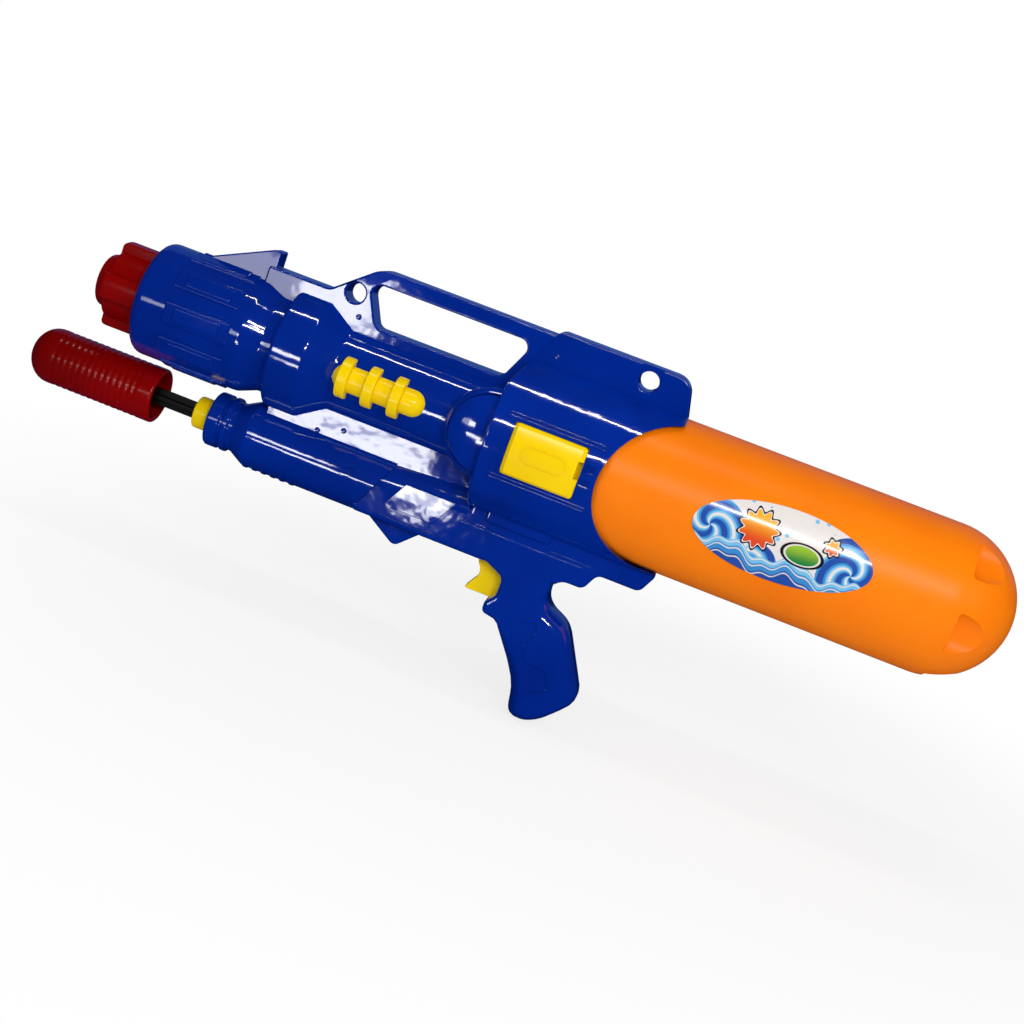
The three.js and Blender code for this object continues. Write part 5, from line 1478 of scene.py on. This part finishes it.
    def pistol_grip(self) -> Shape:
        """The grip as a body through sections, from inside the frame to its rounded foot."""
        made = Bench.loft([self.grip_ring(drop) for drop in self.grip_drops])
        return Bench.unite(made, Bench.loft([self.grip_ring(drop, True) for drop in self.neck_drops]))

    def frame_room(self) -> Shape:
        """The hollow of the frame and the smaller one of the grip."""
        half = self.frame_half - self.wall
        made = Bench.slab(rounded(drawn_in(self.frame_corners(), self.wall), steps=8), -half, half)
        for front, top in ((-AT.far, self.frame_bottom), self.heel_room):
            Bench.cut(made, Bench.block((front, -AT.far, -AT.far), (AT.far, AT.far, top)))
        outline = rounded([self.grip_point(depth, drop, 3.0) for depth, drop in self.grip_room])
        half = self.frame_half - self.grip_wall
        return Bench.unite(made, Bench.slab(outline, -half, half))

    def finger_panel(self, obj: Shape) -> Shape:
        """Sinks a shallow panel into both sides of the grip."""
        outline = rounded([self.grip_point(depth, drop, 2.0) for depth, drop in self.panel], steps=3)
        for side in Side:
            low, high = side.span(self.frame_half - self.sunk, self.frame_half + AT.over)
            Bench.cut(obj, Bench.soften(Bench.slab(outline, low, high), 0.8, 2))
        return obj

    def lug(self) -> Shape:
        """The pointed foot under the tube's rear end."""
        floor = self.frame_floor
        corners = [
            (-96.0, floor + 18.0, 0.0),
            (-96.0, floor + 3.0, 3.0),
            (-66.5, -98.0, 5.0),
            (-51.0, floor, 7.0),
            (-33.0, floor, 0.0),
            (-33.0, floor + 18.0, 0.0),
        ]
        return Bench.soften(Bench.slab(rounded(corners), -self.lug_half, self.lug_half), 2.0)

    def panels(self) -> list[Shape]:
        """The bare slanting plate and the round-ended box, which stand out on both sides."""
        low = self.frame_top - self.plate_drop
        top = low + self.plate_height
        plate = [(-45.0, low, 1.0), (-34.0, top, 1.0), (-70.0, top, 1.0), (-81.0, low, 1.0)]
        half = self.frame_half + self.plate_rise
        made = [Bench.soften(Bench.slab(rounded(plate, steps=3), -half, half), 0.6)]
        half = self.frame_half + self.box_rise
        front, rear = self.box
        box = Bench.block((front, -half, self.frame_top - self.box_height), (rear, half, self.frame_top))
        made.append(Bench.soften(box, 2.6, 5))
        return made

    def skin(self) -> Shape:
        """The outer form of the whole casing."""
        return Bench.unite(
            self.barrel(0.0),
            *self.pads(),
            self.sight(0.0),
            self.handle(0.0),
            self.housing(),
            self.bulge(0.0),
            self.tube(0.0),
            *self.tube_ribs(),
            self.web(0.0),
            self.frame(),
            self.lug(),
            *self.panels(),
            self.spine(0.0),
            *self.beads(),
        )

    def room(self) -> Shape:
        """The hollow inside the whole casing."""
        w = self.wall
        return Bench.unite(
            self.barrel(w),
            self.sight(w),
            self.handle(w),
            self.housing_room(),
            self.bulge(w),
            self.tube(w),
            self.web(w),
            self.spine(w),
            self.frame_room(),
        )

    def bores(self) -> list[Shape]:
        """Cuts for the nozzle, pump, tank, valve, trigger, handle opening, strap holes, covers and trims."""
        far = self.housing_r + AT.over
        front = AT.tube_front
        made = [
            self.drum(self.nozzle_bore, AT.collar_front - AT.over, AT.collar_front + self.nozzle_depth),
            self.drum(self.gland_bore, front - AT.over, front + self.gland_depth, AT.pump),
            self.drum(self.cylinder_bore, front + self.cylinder_front, self.cylinder_rear, AT.pump),
            self.drum(self.tank_bore, AT.tank + self.tank_seat, AT.skirt_rear + AT.over),
            self.drum(self.valve_bore, *self.valve_span, AT.valve),
            Bench.slab(self.slot, -self.slot_half, self.slot_half),
            Bench.slab(rounded(self.opening(0.0)), -self.opening_half, self.opening_half),
            Bench.rod(-far, far, self.hole_r, self.hole_front),
            Bench.rod(-far, far, self.hole_r, self.hole_rear),
        ]
        inner = AT.cover_inner - self.cover_seat
        for side in Side:
            for edge, outer in ((self.play, far), (self.play + AT.cover_lip, AT.cover_inner + self.play)):
                low, high = side.span(inner, outer)
                half = AT.cover_half + edge
                corner = (AT.cover + AT.cover_length + edge, high, half)
                made.append(Bench.block((AT.cover - edge, low, -half), corner))
            for peg in AT.trim_pegs():
                made.append(Bench.rod(*side.span(*self.peg_reach), self.peg_bore, (peg, 0.0)))
        return made

    def build(self, crew: Crew) -> None:
        """Models both halves and lets them stand for the CAD halves."""
        skin = self.skin()
        LOG.info("casing skin: %d faces", len(skin.data.polygons))
        screws = self.screws()
        room = self.room()
        reach = self.boss_reach
        Bench.cut(room, *[Bench.rod(-reach, reach, self.boss_r, spot, 32) for spot in screws + [AT.pin]])
        Bench.cut(skin, room)
        pin = Bench.rod(-self.pin_half, self.pin_half, self.pin_bore, AT.pin)
        Bench.cut(skin, *self.bores(), *self.marks(), *self.windows(), pin)
        for side in Side:
            half = Bench.copy(skin)
            low, high = side.span(self.parting / 2, AT.far)
            Bench.keep(half, Bench.block((-AT.far, low, -AT.far), (AT.far, high, AT.far)))
            drills = zip(self.pilots, self.pilot_steps)
            if side is Side.RIGHT:
                drills = zip(self.wells, self.well_steps)
            for drill, steps in drills:
                Bench.cut(half, *[Bench.rod(*drill, spot, steps) for spot in screws])
            name = "casing_" + side.name.lower()
            crew.stand_in(Bench.settle(half, name + "_shell"), name, "casing")
        bpy.data.objects.remove(skin)


@dataclass
class Nozzle:
    """The red twist nozzle."""

    boss_r: float = 18.0
    boss: float = 8.0
    body_r: float = 24.0
    rib_r: float = 29.5
    rib_foot: float = 10.0
    rib_width: float = 17.0
    ribs: int = 4
    dish: tuple[Point, ...] = ((-1.0, 0.0), (-1.0, 6.0), (1.2, 4.4), (1.2, 0.0))
    jet_r: float = 1.6
    seat_r: float = 9.4
    seat_depth: float = 10.0

    def build(self, crew: Crew) -> None:
        """Models the nozzle with its broad ribs and its jet."""
        front, rear = AT.nozzle_front, AT.nozzle_rear
        shoulder = front + self.boss
        body = [
            (front, 0.0, 0.0),
            (front, self.boss_r, 4.0),
            (shoulder, self.boss_r, 1.0),
            (shoulder + 1.0, self.body_r, 1.6),
            (rear, self.body_r, 0.0),
            (rear, 0.0, 0.0),
        ]
        made = Bench.lathe(rounded(body, False))
        hull = [
            (shoulder, 0.0, 0.0),
            (shoulder, self.rib_r, 3.0),
            (rear, self.rib_r, 0.5),
            (rear, 0.0, 0.0),
        ]
        half = self.rib_width / 2
        bar = Bench.block((shoulder, -half, self.rib_foot), (rear, half, self.rib_r + AT.over))
        bars, *others = Bench.round_copies(bar, self.ribs)
        Bench.unite(bars, *others)
        Bench.keep(bars, Bench.lathe(rounded(hull, False)))
        Bench.unite(made, Bench.soften(bars, 0.7, 2, 50.0))
        Bench.cut(
            made,
            Bench.lathe([(front + step, r) for step, r in self.dish]),
            Bench.lathe(plain_bar(front - 1.0, rear, self.jet_r), steps=32),
            Bench.lathe(plain_bar(front + self.seat_depth, rear + AT.over, self.seat_r), steps=64),
        )
        crew.stand_in(Bench.settle(made, "nozzle_body"), "nozzle", "nozzle")


@dataclass
class Pump:
    """The sliding hand grip, its cross-shaped rod and the gland that guides it."""

    grip_r: float = 19.1
    wall: float = 3.4
    dome: float = 16.0
    ribs: int = 14
    rib_pitch: float = 4.55
    rib_start: float = -325.5
    rib_depth: float = 0.35
    rib_steps: int = 6
    rod_half: float = 5.6
    rod_web: float = 1.5
    socket_r: float = 9.2
    socket: Point = (6.8, 42.8)
    gland_lead: float = 12.0
    gland_r: float = 11.0
    gland_depth: float = 2.8
    flange_r: float = 12.5
    flange: float = 5.0

    def grip(self) -> Shape:
        """The ribbed grip with its domed front and open rear."""
        front, rim = AT.pump_front, AT.pump_rim
        corners = [(front + self.dome * (1 - cos), self.grip_r * sin, 0.0) for cos, sin in quarter(12)]
        for k in range(self.rib_steps * self.ribs + 1):
            turn = k / self.rib_steps
            dip = self.rib_depth * (0.5 - 0.5 * math.cos(math.tau * turn))
            corners.append((self.rib_start + self.rib_pitch * turn, self.grip_r - dip, 0.0))
        low, high = (front + step for step in self.socket)
        corners += [
            (rim, self.grip_r, 2.0),
            (rim, self.grip_r - self.wall, 1.0),
            (front + self.dome, self.grip_r - self.wall, 3.0),
            (low, self.socket_r, 0.0),
            (high, self.socket_r, 0.5),
            (high, AT.rod_room, 0.3),
            (low, AT.rod_room, 0.0),
            (low, 0.0, 0.0),
        ]
        return Bench.lathe(rounded(corners, False, 3), at=(0.0, 0.0, AT.pump))

    def rod(self) -> Shape:
        """The black rod with a cross section."""
        low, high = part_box("pump_rod")
        x0 = (low[0] - DATUM.x) / MM
        x1 = (high[0] - DATUM.x) / MM
        wide, thin = self.rod_half, self.rod_web
        made = Bench.block((x0, -wide, AT.pump - thin), (x1, wide, AT.pump + thin))
        Bench.unite(made, Bench.block((x0, -thin, AT.pump - wide), (x1, thin, AT.pump + wide)))
        return Bench.soften(made, 0.35, 2)

    def gland(self) -> Shape:
        """The yellow collar that guides the rod."""
        front, back = AT.tube_front - self.gland_lead, AT.tube_front + self.gland_depth
        corners = [
            (front, AT.rod_room, 0.4),
            (front, self.gland_r, 1.6),
            (back, self.gland_r, 0.0),
            (back, self.flange_r, 0.0),
            (back + self.flange, self.flange_r, 0.5),
            (back + self.flange, AT.rod_room, 0.0),
        ]
        return Bench.lathe(rounded(corners), at=(0.0, 0.0, AT.pump), ring=True)

    def build(self, crew: Crew) -> None:
        """Models the three pieces."""
        crew.stand_in(Bench.settle(self.grip(), "pump_hand_grip"), "pump_grip", "pump")
        crew.stand_in(Bench.settle(self.rod(), "pump_cross_rod"), "pump_rod", "pump")
        crew.stand_in(Bench.settle(self.gland(), "pump_gland"), "gland_cap", "casing")


@dataclass
class BarrelTrim:
    """A yellow ringed bar on one side of the barrel."""

    side: Side
    r: float = 9.0
    ring_r: float = 13.7
    ring_width: float = 7.2
    rings: int = 3
    lead: float = 9.2
    tail: float = 19.1
    reach: float = 27.0
    barrel: float = 29.8
    peg_r: float = 2.5
    peg_reach: Point = (23.8, 33.0)

    def build(self, crew: Crew) -> None:
        """Models the bar with three rings, cut to the barrel."""
        nose, end = AT.trim_pegs()
        nose -= self.lead
        end += self.tail
        line = (0.0, self.side.value * self.reach, 0.0)
        arc = quarter(12)
        bar = [(nose + self.r * (1 - cos), self.r * sin) for cos, sin in arc]
        bar += [(end - self.r * (1 - cos), self.r * sin) for cos, sin in reversed(arc)]
        made = Bench.lathe(bar, at=line, steps=72)
        for i in range(self.rings):
            low = AT.trim + AT.trim_pitch * i - self.ring_width / 2
            high = low + self.ring_width
            ring = [(low, 0.0, 0.0), (low, self.ring_r, 1.1), (high, self.ring_r, 1.1), (high, 0.0, 0.0)]
            Bench.unite(made, Bench.lathe(rounded(ring, False), at=line, steps=72))
        Bench.cut(made, Casing.drum(self.barrel, nose - self.r, end + self.r))
        for x in AT.trim_pegs():
            Bench.unite(made, Bench.rod(*self.side.span(*self.peg_reach), self.peg_r, (x, 0.0), 24))
        name = "barrel_trim_" + self.side.name.lower()
        crew.stand_in(Bench.settle(made, name + "_bar"), name, "casing")


@dataclass
class PortCover:
    """A yellow cover in one side of the housing."""

    side: Side
    crown: float = 57.0
    edge: float = 2.3
    rim: float = 2.0
    notch: Point = (-3.5, 8.0)
    notch_depth: float = 3.0
    line_outer: Point = (9.0, 6.0)
    line_inner: Point = (10.1, 4.9)
    line_depth: float = 0.6

    def build(self, crew: Crew) -> None:
        """Models the cover with its bevelled rim, its stadium line and its latch notch."""
        front, rear = AT.cover, AT.cover + AT.cover_length
        half, far = AT.cover_half, self.crown + AT.over
        outline = [(front, -half, 2.8), (rear, -half, 2.5), (rear, half, 2.5), (front, half, 2.8)]
        face = Bench.slab(rounded(outline), -self.crown, self.crown)
        Bench.keep(face, Bench.lathe(plain_bar(front - 1.0, rear + 1.0, self.crown), steps=160))
        Bench.soften(face, self.edge, 1)
        low, high = self.notch
        corner = (rear + self.notch_depth, far, high)
        Bench.cut(face, Bench.block((rear - self.notch_depth, -far, low), corner))
        groove = Bench.slab(rounded(self.stadium(*self.line_outer)), -far, far)
        Bench.cut(groove, Bench.slab(rounded(self.stadium(*self.line_inner)), -far - 1.0, far + 1.0))
        Bench.cut(groove, Bench.lathe(plain_bar(front, rear, self.crown - self.line_depth), steps=160))
        Bench.cut(face, groove)
        low, high = self.side.span(AT.cover_inner - self.rim, far)
        Bench.keep(face, Bench.block((-AT.far, low, -AT.far), (AT.far, high, AT.far)))
        low, high = self.side.span(AT.cover_inner - self.rim, AT.cover_inner)
        front, rear, half = front - AT.cover_lip, rear + AT.cover_lip, half + AT.cover_lip
        Bench.unite(face, Bench.block((front, low, -half), (rear, high, half)))
        name = "port_cover_" + self.side.name.lower()
        crew.stand_in(Bench.settle(face, name + "_lid"), name, "casing")

    def stadium(self, setback: float, half: float) -> list[Corner]:
        """A round-ended outline in the cover's face."""
        front, rear = AT.cover + setback, AT.cover + AT.cover_length - setback
        return [(x, z, half) for x, z in ((front, -half), (rear, -half), (rear, half), (front, half))]


@dataclass
class Tank:
    """The orange tank with its finger notches, and the sticker on its left side."""

    r: float = 50.5
    wall: float = 1.8
    neck_r: float = 19.2
    neck: float = 21.0
    neck_wall: float = 3.0
    notches: int = 6
    notch_lead: float = 9.0
    notch_r: float = 19.0
    notch_floor: float = 40.8
    notch_turn: float = math.radians(48.6)
    label: Point = (168.0, 3.2)
    label_half: Point = (57.3, 23.5)
    label_tilt: float = math.radians(2.8)
    label_steps: int = 96
    label_rise: Point = (0.2, 0.6)

    def form(self, wall: float) -> Shape:
        """The turned tank, or its hollow when a wall is taken off."""
        start = AT.tank - (AT.over if wall else 0.0)
        neck_r = self.neck_r - (self.neck_wall if wall else 0.0)
        neck = AT.tank + self.neck + wall
        r = self.r - wall
        corners = [
            (start, 0.0, 0.0),
            (start, neck_r, 0.0 if wall else 0.8),
            (neck, neck_r, 1.5),
            (AT.tank_shoulder, r, 10.0),
        ]
        corners += [(AT.dome + r * sin, r * cos, 0.0) for cos, sin in quarter(24)]
        return Bench.lathe(rounded(corners, False), steps=steps_round(wall, 144))

    def notch(self, wall: float) -> Shape:
        """One pocket for a finger at the end of the dome."""
        x = AT.dome + self.notch_lead - wall
        far = x + 2 * self.r
        r = self.notch_r + wall
        rim = [(x, 0.0, 0.0), (x, r, 3.0), (far, r, 0.0), (far, 0.0, 0.0)]
        made = Bench.lathe(rounded(rim, False), at=(0.0, -self.notch_floor - self.notch_r, 0.0), steps=120)
        return Bench.turn(made, -self.notch_turn, Axis.X)

    def pocketed(self, wall: float) -> Shape:
        """The tank form with all its pockets."""
        return Bench.cut(self.form(wall), *Bench.round_copies(self.notch(wall), self.notches))

    def sticker(self) -> Shape:
        """The oval film on the tank's left side."""
        x, z = self.label
        a, b = self.label_half
        turns = [math.tau * i / self.label_steps for i in range(self.label_steps)]
        points = [(x + a * math.cos(turn), z + b * math.sin(turn)) for turn in turns]
        made = Bench.slab(points, -self.r - 4 * AT.over, 0.0)
        Bench.turn(made, -self.label_tilt, Axis.Y, (x, 0.0, z))
        inner, outer = (self.r + rise for rise in self.label_rise)
        ring = [(0.0, inner), (0.0, outer), (AT.far, outer), (AT.far, inner)]
        return Bench.keep(made, Bench.lathe(ring, steps=288, ring=True))

    def build(self, crew: Crew) -> None:
        """Models the hollow tank and its sticker."""
        made = Bench.cut(self.pocketed(0.0), self.pocketed(self.wall))
        crew.stand_in(Bench.settle(made, "tank_shell"), "tank", "tank")
        crew.stand_in(Bench.settle(self.sticker(), "tank_sticker"), "tank_label", "tank")


@dataclass
class Trigger:
    """The yellow trigger on its pin."""

    half: float = 5.0
    pin_r: float = 2.3
    edge: float = 0.7

    def build(self, crew: Crew) -> None:
        """Models the trigger's blade and arm."""
        corners = [
            (-9.0, -54.5, 2.0),
            (-9.0, -74.0, 2.0),
            (-9.5, -86.5, 1.0),
            (-5.0, -94.0, 12.0),
            (-13.0, -107.0, 1.0),
            (11.0, -107.0, 4.0),
            (11.0, -88.0, 4.0),
            (6.0, -72.0, 2.0),
            (6.0, -54.5, 2.0),
        ]
        made = Bench.slab(rounded(corners), -self.half, self.half)
        far = self.half + AT.over
        Bench.cut(made, Bench.rod(-far, far, self.pin_r, AT.pin))
        Bench.soften(made, self.edge)
        crew.stand_in(Bench.settle(made, "trigger_blade"), "trigger", "trigger")


@dataclass
class Screws:
    """The cross-head screws that close the casing."""

    head_r: float = 3.0
    head: float = 2.4
    shank_r: float = 1.4
    point: float = 1.2
    floor: float = 5.3
    depth: float = 7.0
    cross: Point = (1.7, 0.4)
    cross_depth: float = 1.1

    def one(self) -> Shape:
        """A screw along Y at the origin."""
        top = self.floor + self.head
        corners = [
            (-self.depth, 0.0, 0.0),
            (-self.depth + self.point, self.shank_r, 0.0),
            (self.floor, self.shank_r, 0.0),
            (self.floor, self.head_r, 0.3),
            (top, self.head_r, 1.0),
            (top, 0.0, 0.0),
        ]
        made = Bench.lathe(rounded(corners, False, 4), Axis.Y, steps=32)
        for x, z in (self.cross, reversed(self.cross)):
            Bench.cut(made, Bench.block((-x, top - self.cross_depth, -z), (x, top + 1.0, z)))
        return made

    def build(self, crew: Crew) -> None:
        """Copies one screw to every boss."""
        one = self.one()
        for node in sorted(n for n in frame["nodes"] if n.startswith("casing_screw_")):
            place = (middle(node) - DATUM) / MM
            made = Bench.shift(Bench.copy(one), (place.x, 0.0, place.z))
            crew.stand_in(Bench.settle(made, node.replace("casing_screw", "screw")), node, "casing")
        bpy.data.objects.remove(one)


@dataclass
class Spring:
    """A coil spring along X."""

    node: str
    joint: str
    turns: int
    r: float
    keep: float
    anchor_high: bool
    wire: float = 0.45
    steps: int = 24

    def build(self, crew: Crew) -> None:
        """Winds the wire between the ends of the CAD spring."""
        low, high = (Vector(c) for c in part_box(self.node))
        x0 = (low.x - DATUM.x) / MM + self.wire
        x1 = (high.x - DATUM.x) / MM - self.wire
        z = ((low.z + high.z) / 2 - DATUM.z) / MM
        bpy.ops.object.select_all(action="DESELECT")
        bpy.ops.mesh.primitive_circle_add(vertices=12, radius=self.wire, fill_type="NOTHING")
        made = bpy.context.object
        Bench.edit(made)
        bpy.ops.transform.translate(value=(0.0, self.r, 0.0))
        Bench.close()
        pitch = (x1 - x0) / self.turns
        Bench.apply(
            made,
            "SCREW",
            axis="X",
            angle=math.tau,
            screw_offset=pitch,
            iterations=self.turns,
            steps=self.steps,
            render_steps=self.steps,
            use_normal_calculate=True,
        )
        Bench.edit(made)
        Bench.cap()
        Bench.outward()
        bpy.ops.transform.translate(value=(x0, 0.0, z))
        Bench.close()
        crew.stand_in(Bench.settle(made, self.node + "_coil", False), self.node, "casing")
        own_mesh(made)


@dataclass
class Studio:
    """Floor, lights and camera."""

    eye: Place = (0.0390, -1.0009, 0.2993)
    right: Place = (0.9283, 0.1530, 0.3389)
    up: Place = (-0.3615, 0.1586, 0.9188)
    back: Place = (0.0867, -0.9754, 0.2025)
    lens: float = 54.49
    sensor: float = 36.0
    pixels: int = 1024
    sky: float = 0.26
    dim: float = 0.015
    floor_size: float = 30.0
    floor_gap: float = 0.0005
    pale: tuple[Colour, Colour] = (srgb(252, 252, 252), srgb(247, 247, 247))
    mirrored: Colour = srgb(12, 28, 80)
    fade: Point = (0.2, 0.7)
    panel_y: float = -0.5
    cool: Place = (0.12, 0.3, 1.0)

    def camera(self) -> None:
        """Places the photograph's camera."""
        bpy.ops.object.camera_add(location=self.eye)
        made = bpy.context.object
        turn = Matrix((self.right, self.up, self.back)).transposed()
        made.rotation_euler = turn.to_euler()
        made.data.lens = self.lens
        made.data.sensor_width = self.sensor
        made.data.clip_start = 0.01
        scene = bpy.context.scene
        scene.camera = made
        scene.render.resolution_x = self.pixels
        scene.render.resolution_y = self.pixels
        scene.view_settings.view_transform = "Standard"

    def floor(self) -> None:
        """A pale floor that fades to white away from the object."""
        bpy.ops.object.select_all(action="DESELECT")
        place = (0.0, 0.0, CAD_BOX[0][2] - self.floor_gap)
        bpy.ops.mesh.primitive_plane_add(size=self.floor_size, location=place)
        made = bpy.context.object
        made.name = "studio_floor"
        r = Recipe("studio_white")
        x, y, _ = r.axes()
        reach = ((x - 0.05) * (x - 0.05) + y * y).root()
        grain = r.noise(3.0, 2.0)
        path = r.node("ShaderNodeLightPath")
        colour = r.mix(path.outputs["Is Glossy Ray"], r.mix(grain, *self.pale), self.mirrored)
        r.set(Base_Color=colour, Roughness=0.9, Specular_IOR_Level=0.0)
        glow = r.node("ShaderNodeEmission", Color=(1, 1, 1, 1), Strength=1.0)
        seen = r.flow(path.outputs["Is Camera Ray"])
        both = r.node("ShaderNodeMixShader", Fac=(reach.step(*self.fade) * 0.2 + 0.8) * seen)
        r.tree.links.new(r.surface.outputs["BSDF"], both.inputs[1])
        r.tree.links.new(glow.outputs["Emission"], both.inputs[2])
        r.tree.links.new(both.outputs["Shader"], r.output.inputs["Surface"])
        made.data.materials.append(r.material)

    def lamp(
        self,
        name: str,
        place: Place,
        aim: Place,
        size: Point,
        power: float,
        rays: Rays = Rays.ALL,
        colour: Place = (1.0, 1.0, 1.0),
    ) -> None:
        """A soft rectangular lamp that the camera does not see.

        Args:
            name: The lamp's name.
            place: Where it hangs.
            aim: The point that it faces.
            size: Its width and height.
            power: Its power in watts.
            rays: What it acts on.
            colour: Its colour.
        """
        bpy.ops.object.light_add(type="AREA", location=place)
        made = bpy.context.object
        made.name = name
        made.rotation_euler = (Vector(aim) - Vector(place)).to_track_quat("-Z", "Y").to_euler()
        made.data.shape = "RECTANGLE"
        made.data.size, made.data.size_y = size
        made.data.energy = power
        made.data.color = colour
        made.visible_camera = False
        made.visible_diffuse = rays is not Rays.GLOSSY
        made.visible_glossy = rays is not Rays.DIFFUSE

    def world(self) -> None:
        """An even sky: white where the camera sees it, dim in reflections."""
        world = bpy.context.scene.world or bpy.data.worlds.new("studio")
        bpy.context.scene.world = world
        world.use_nodes = True
        tree = world.node_tree
        tree.nodes.clear()
        out = tree.nodes.new("ShaderNodeOutputWorld")
        back = tree.nodes.new("ShaderNodeBackground")
        path = tree.nodes.new("ShaderNodeLightPath")
        seen = Flow(tree, path.outputs["Is Camera Ray"])
        mirrored = Flow(tree, path.outputs["Is Glossy Ray"])
        level = seen + (1.0 - seen) * (self.sky + mirrored * (self.dim - self.sky))
        tree.links.new(level.socket, back.inputs["Strength"])
        back.inputs["Color"].default_value = (1, 1, 1, 1)
        tree.links.new(back.outputs["Background"], out.inputs["Surface"])

    def build(self) -> None:
        """Sets up the stage."""
        self.camera()
        self.floor()
        self.world()
        centre = (0.0, 0.0, 0.12)
        self.lamp("flash", (0.1, -1.2, 0.58), centre, (0.7, 0.03), 5.0)
        self.lamp("spot_high", (0.42, -1.15, 0.84), centre, (0.05, 0.05), 1.8)
        self.lamp("spot_low", (0.46, -1.1, 0.64), centre, (0.05, 0.05), 1.8)
        self.lamp("strip", (-0.22, -0.24, 1.15), (-0.18, -0.02, 0.14), (0.75, 0.02), 2.6)
        self.lamp("side", (1.0, -0.7, 0.6), (0.15, 0.0, 0.14), (0.5, 0.5), 2.6, Rays.DIFFUSE)
        for name, x, z, size, power in (
            ("handle_panel", -0.32, 0.127, (0.088, 0.046), 0.18),
            ("web_panel", -0.27, 0.006, (0.17, 0.036), 0.28),
            ("plate_panel", -0.184, -0.023, (0.066, 0.018), 0.08),
            ("sight_panel", -0.4225, 0.13, (0.155, 0.06), 0.12),
        ):
            self.lamp(name, (x, self.panel_y, z), (x, 0.0, z), size, power, Rays.GLOSSY)
        self.lamp("back", (0.0, 1.3, 0.9), (0.0, 0.0, 0.2), (3.0, 1.6), 5.0, Rays.GLOSSY, self.cool)


def main() -> None:
    """Builds every piece in order."""
    logging.basicConfig(level=logging.INFO, format="%(name)s %(message)s")
    palette = Palette()
    palette.mix()
    crew = Crew(palette)
    Studio().build()
    Casing().build(crew)
    Nozzle().build(crew)
    Pump().build(crew)
    for side in Side:
        BarrelTrim(side).build(crew)
        PortCover(side).build(crew)
    Tank().build(crew)
    Trigger().build(crew)
    Screws().build(crew)
    Spring("trigger_spring", "trigger_pull", 6, 3.2, 0.62, True).build(crew)
    Spring("valve_spring", "valve_push", 5, 4.0, 0.83, False).build(crew)
    Spring("check_valve_spring", "check_lift", 3, 2.4, 0.82, True).build(crew)
    crew.keep_nodes()


if __name__ == "__main__":
    main()
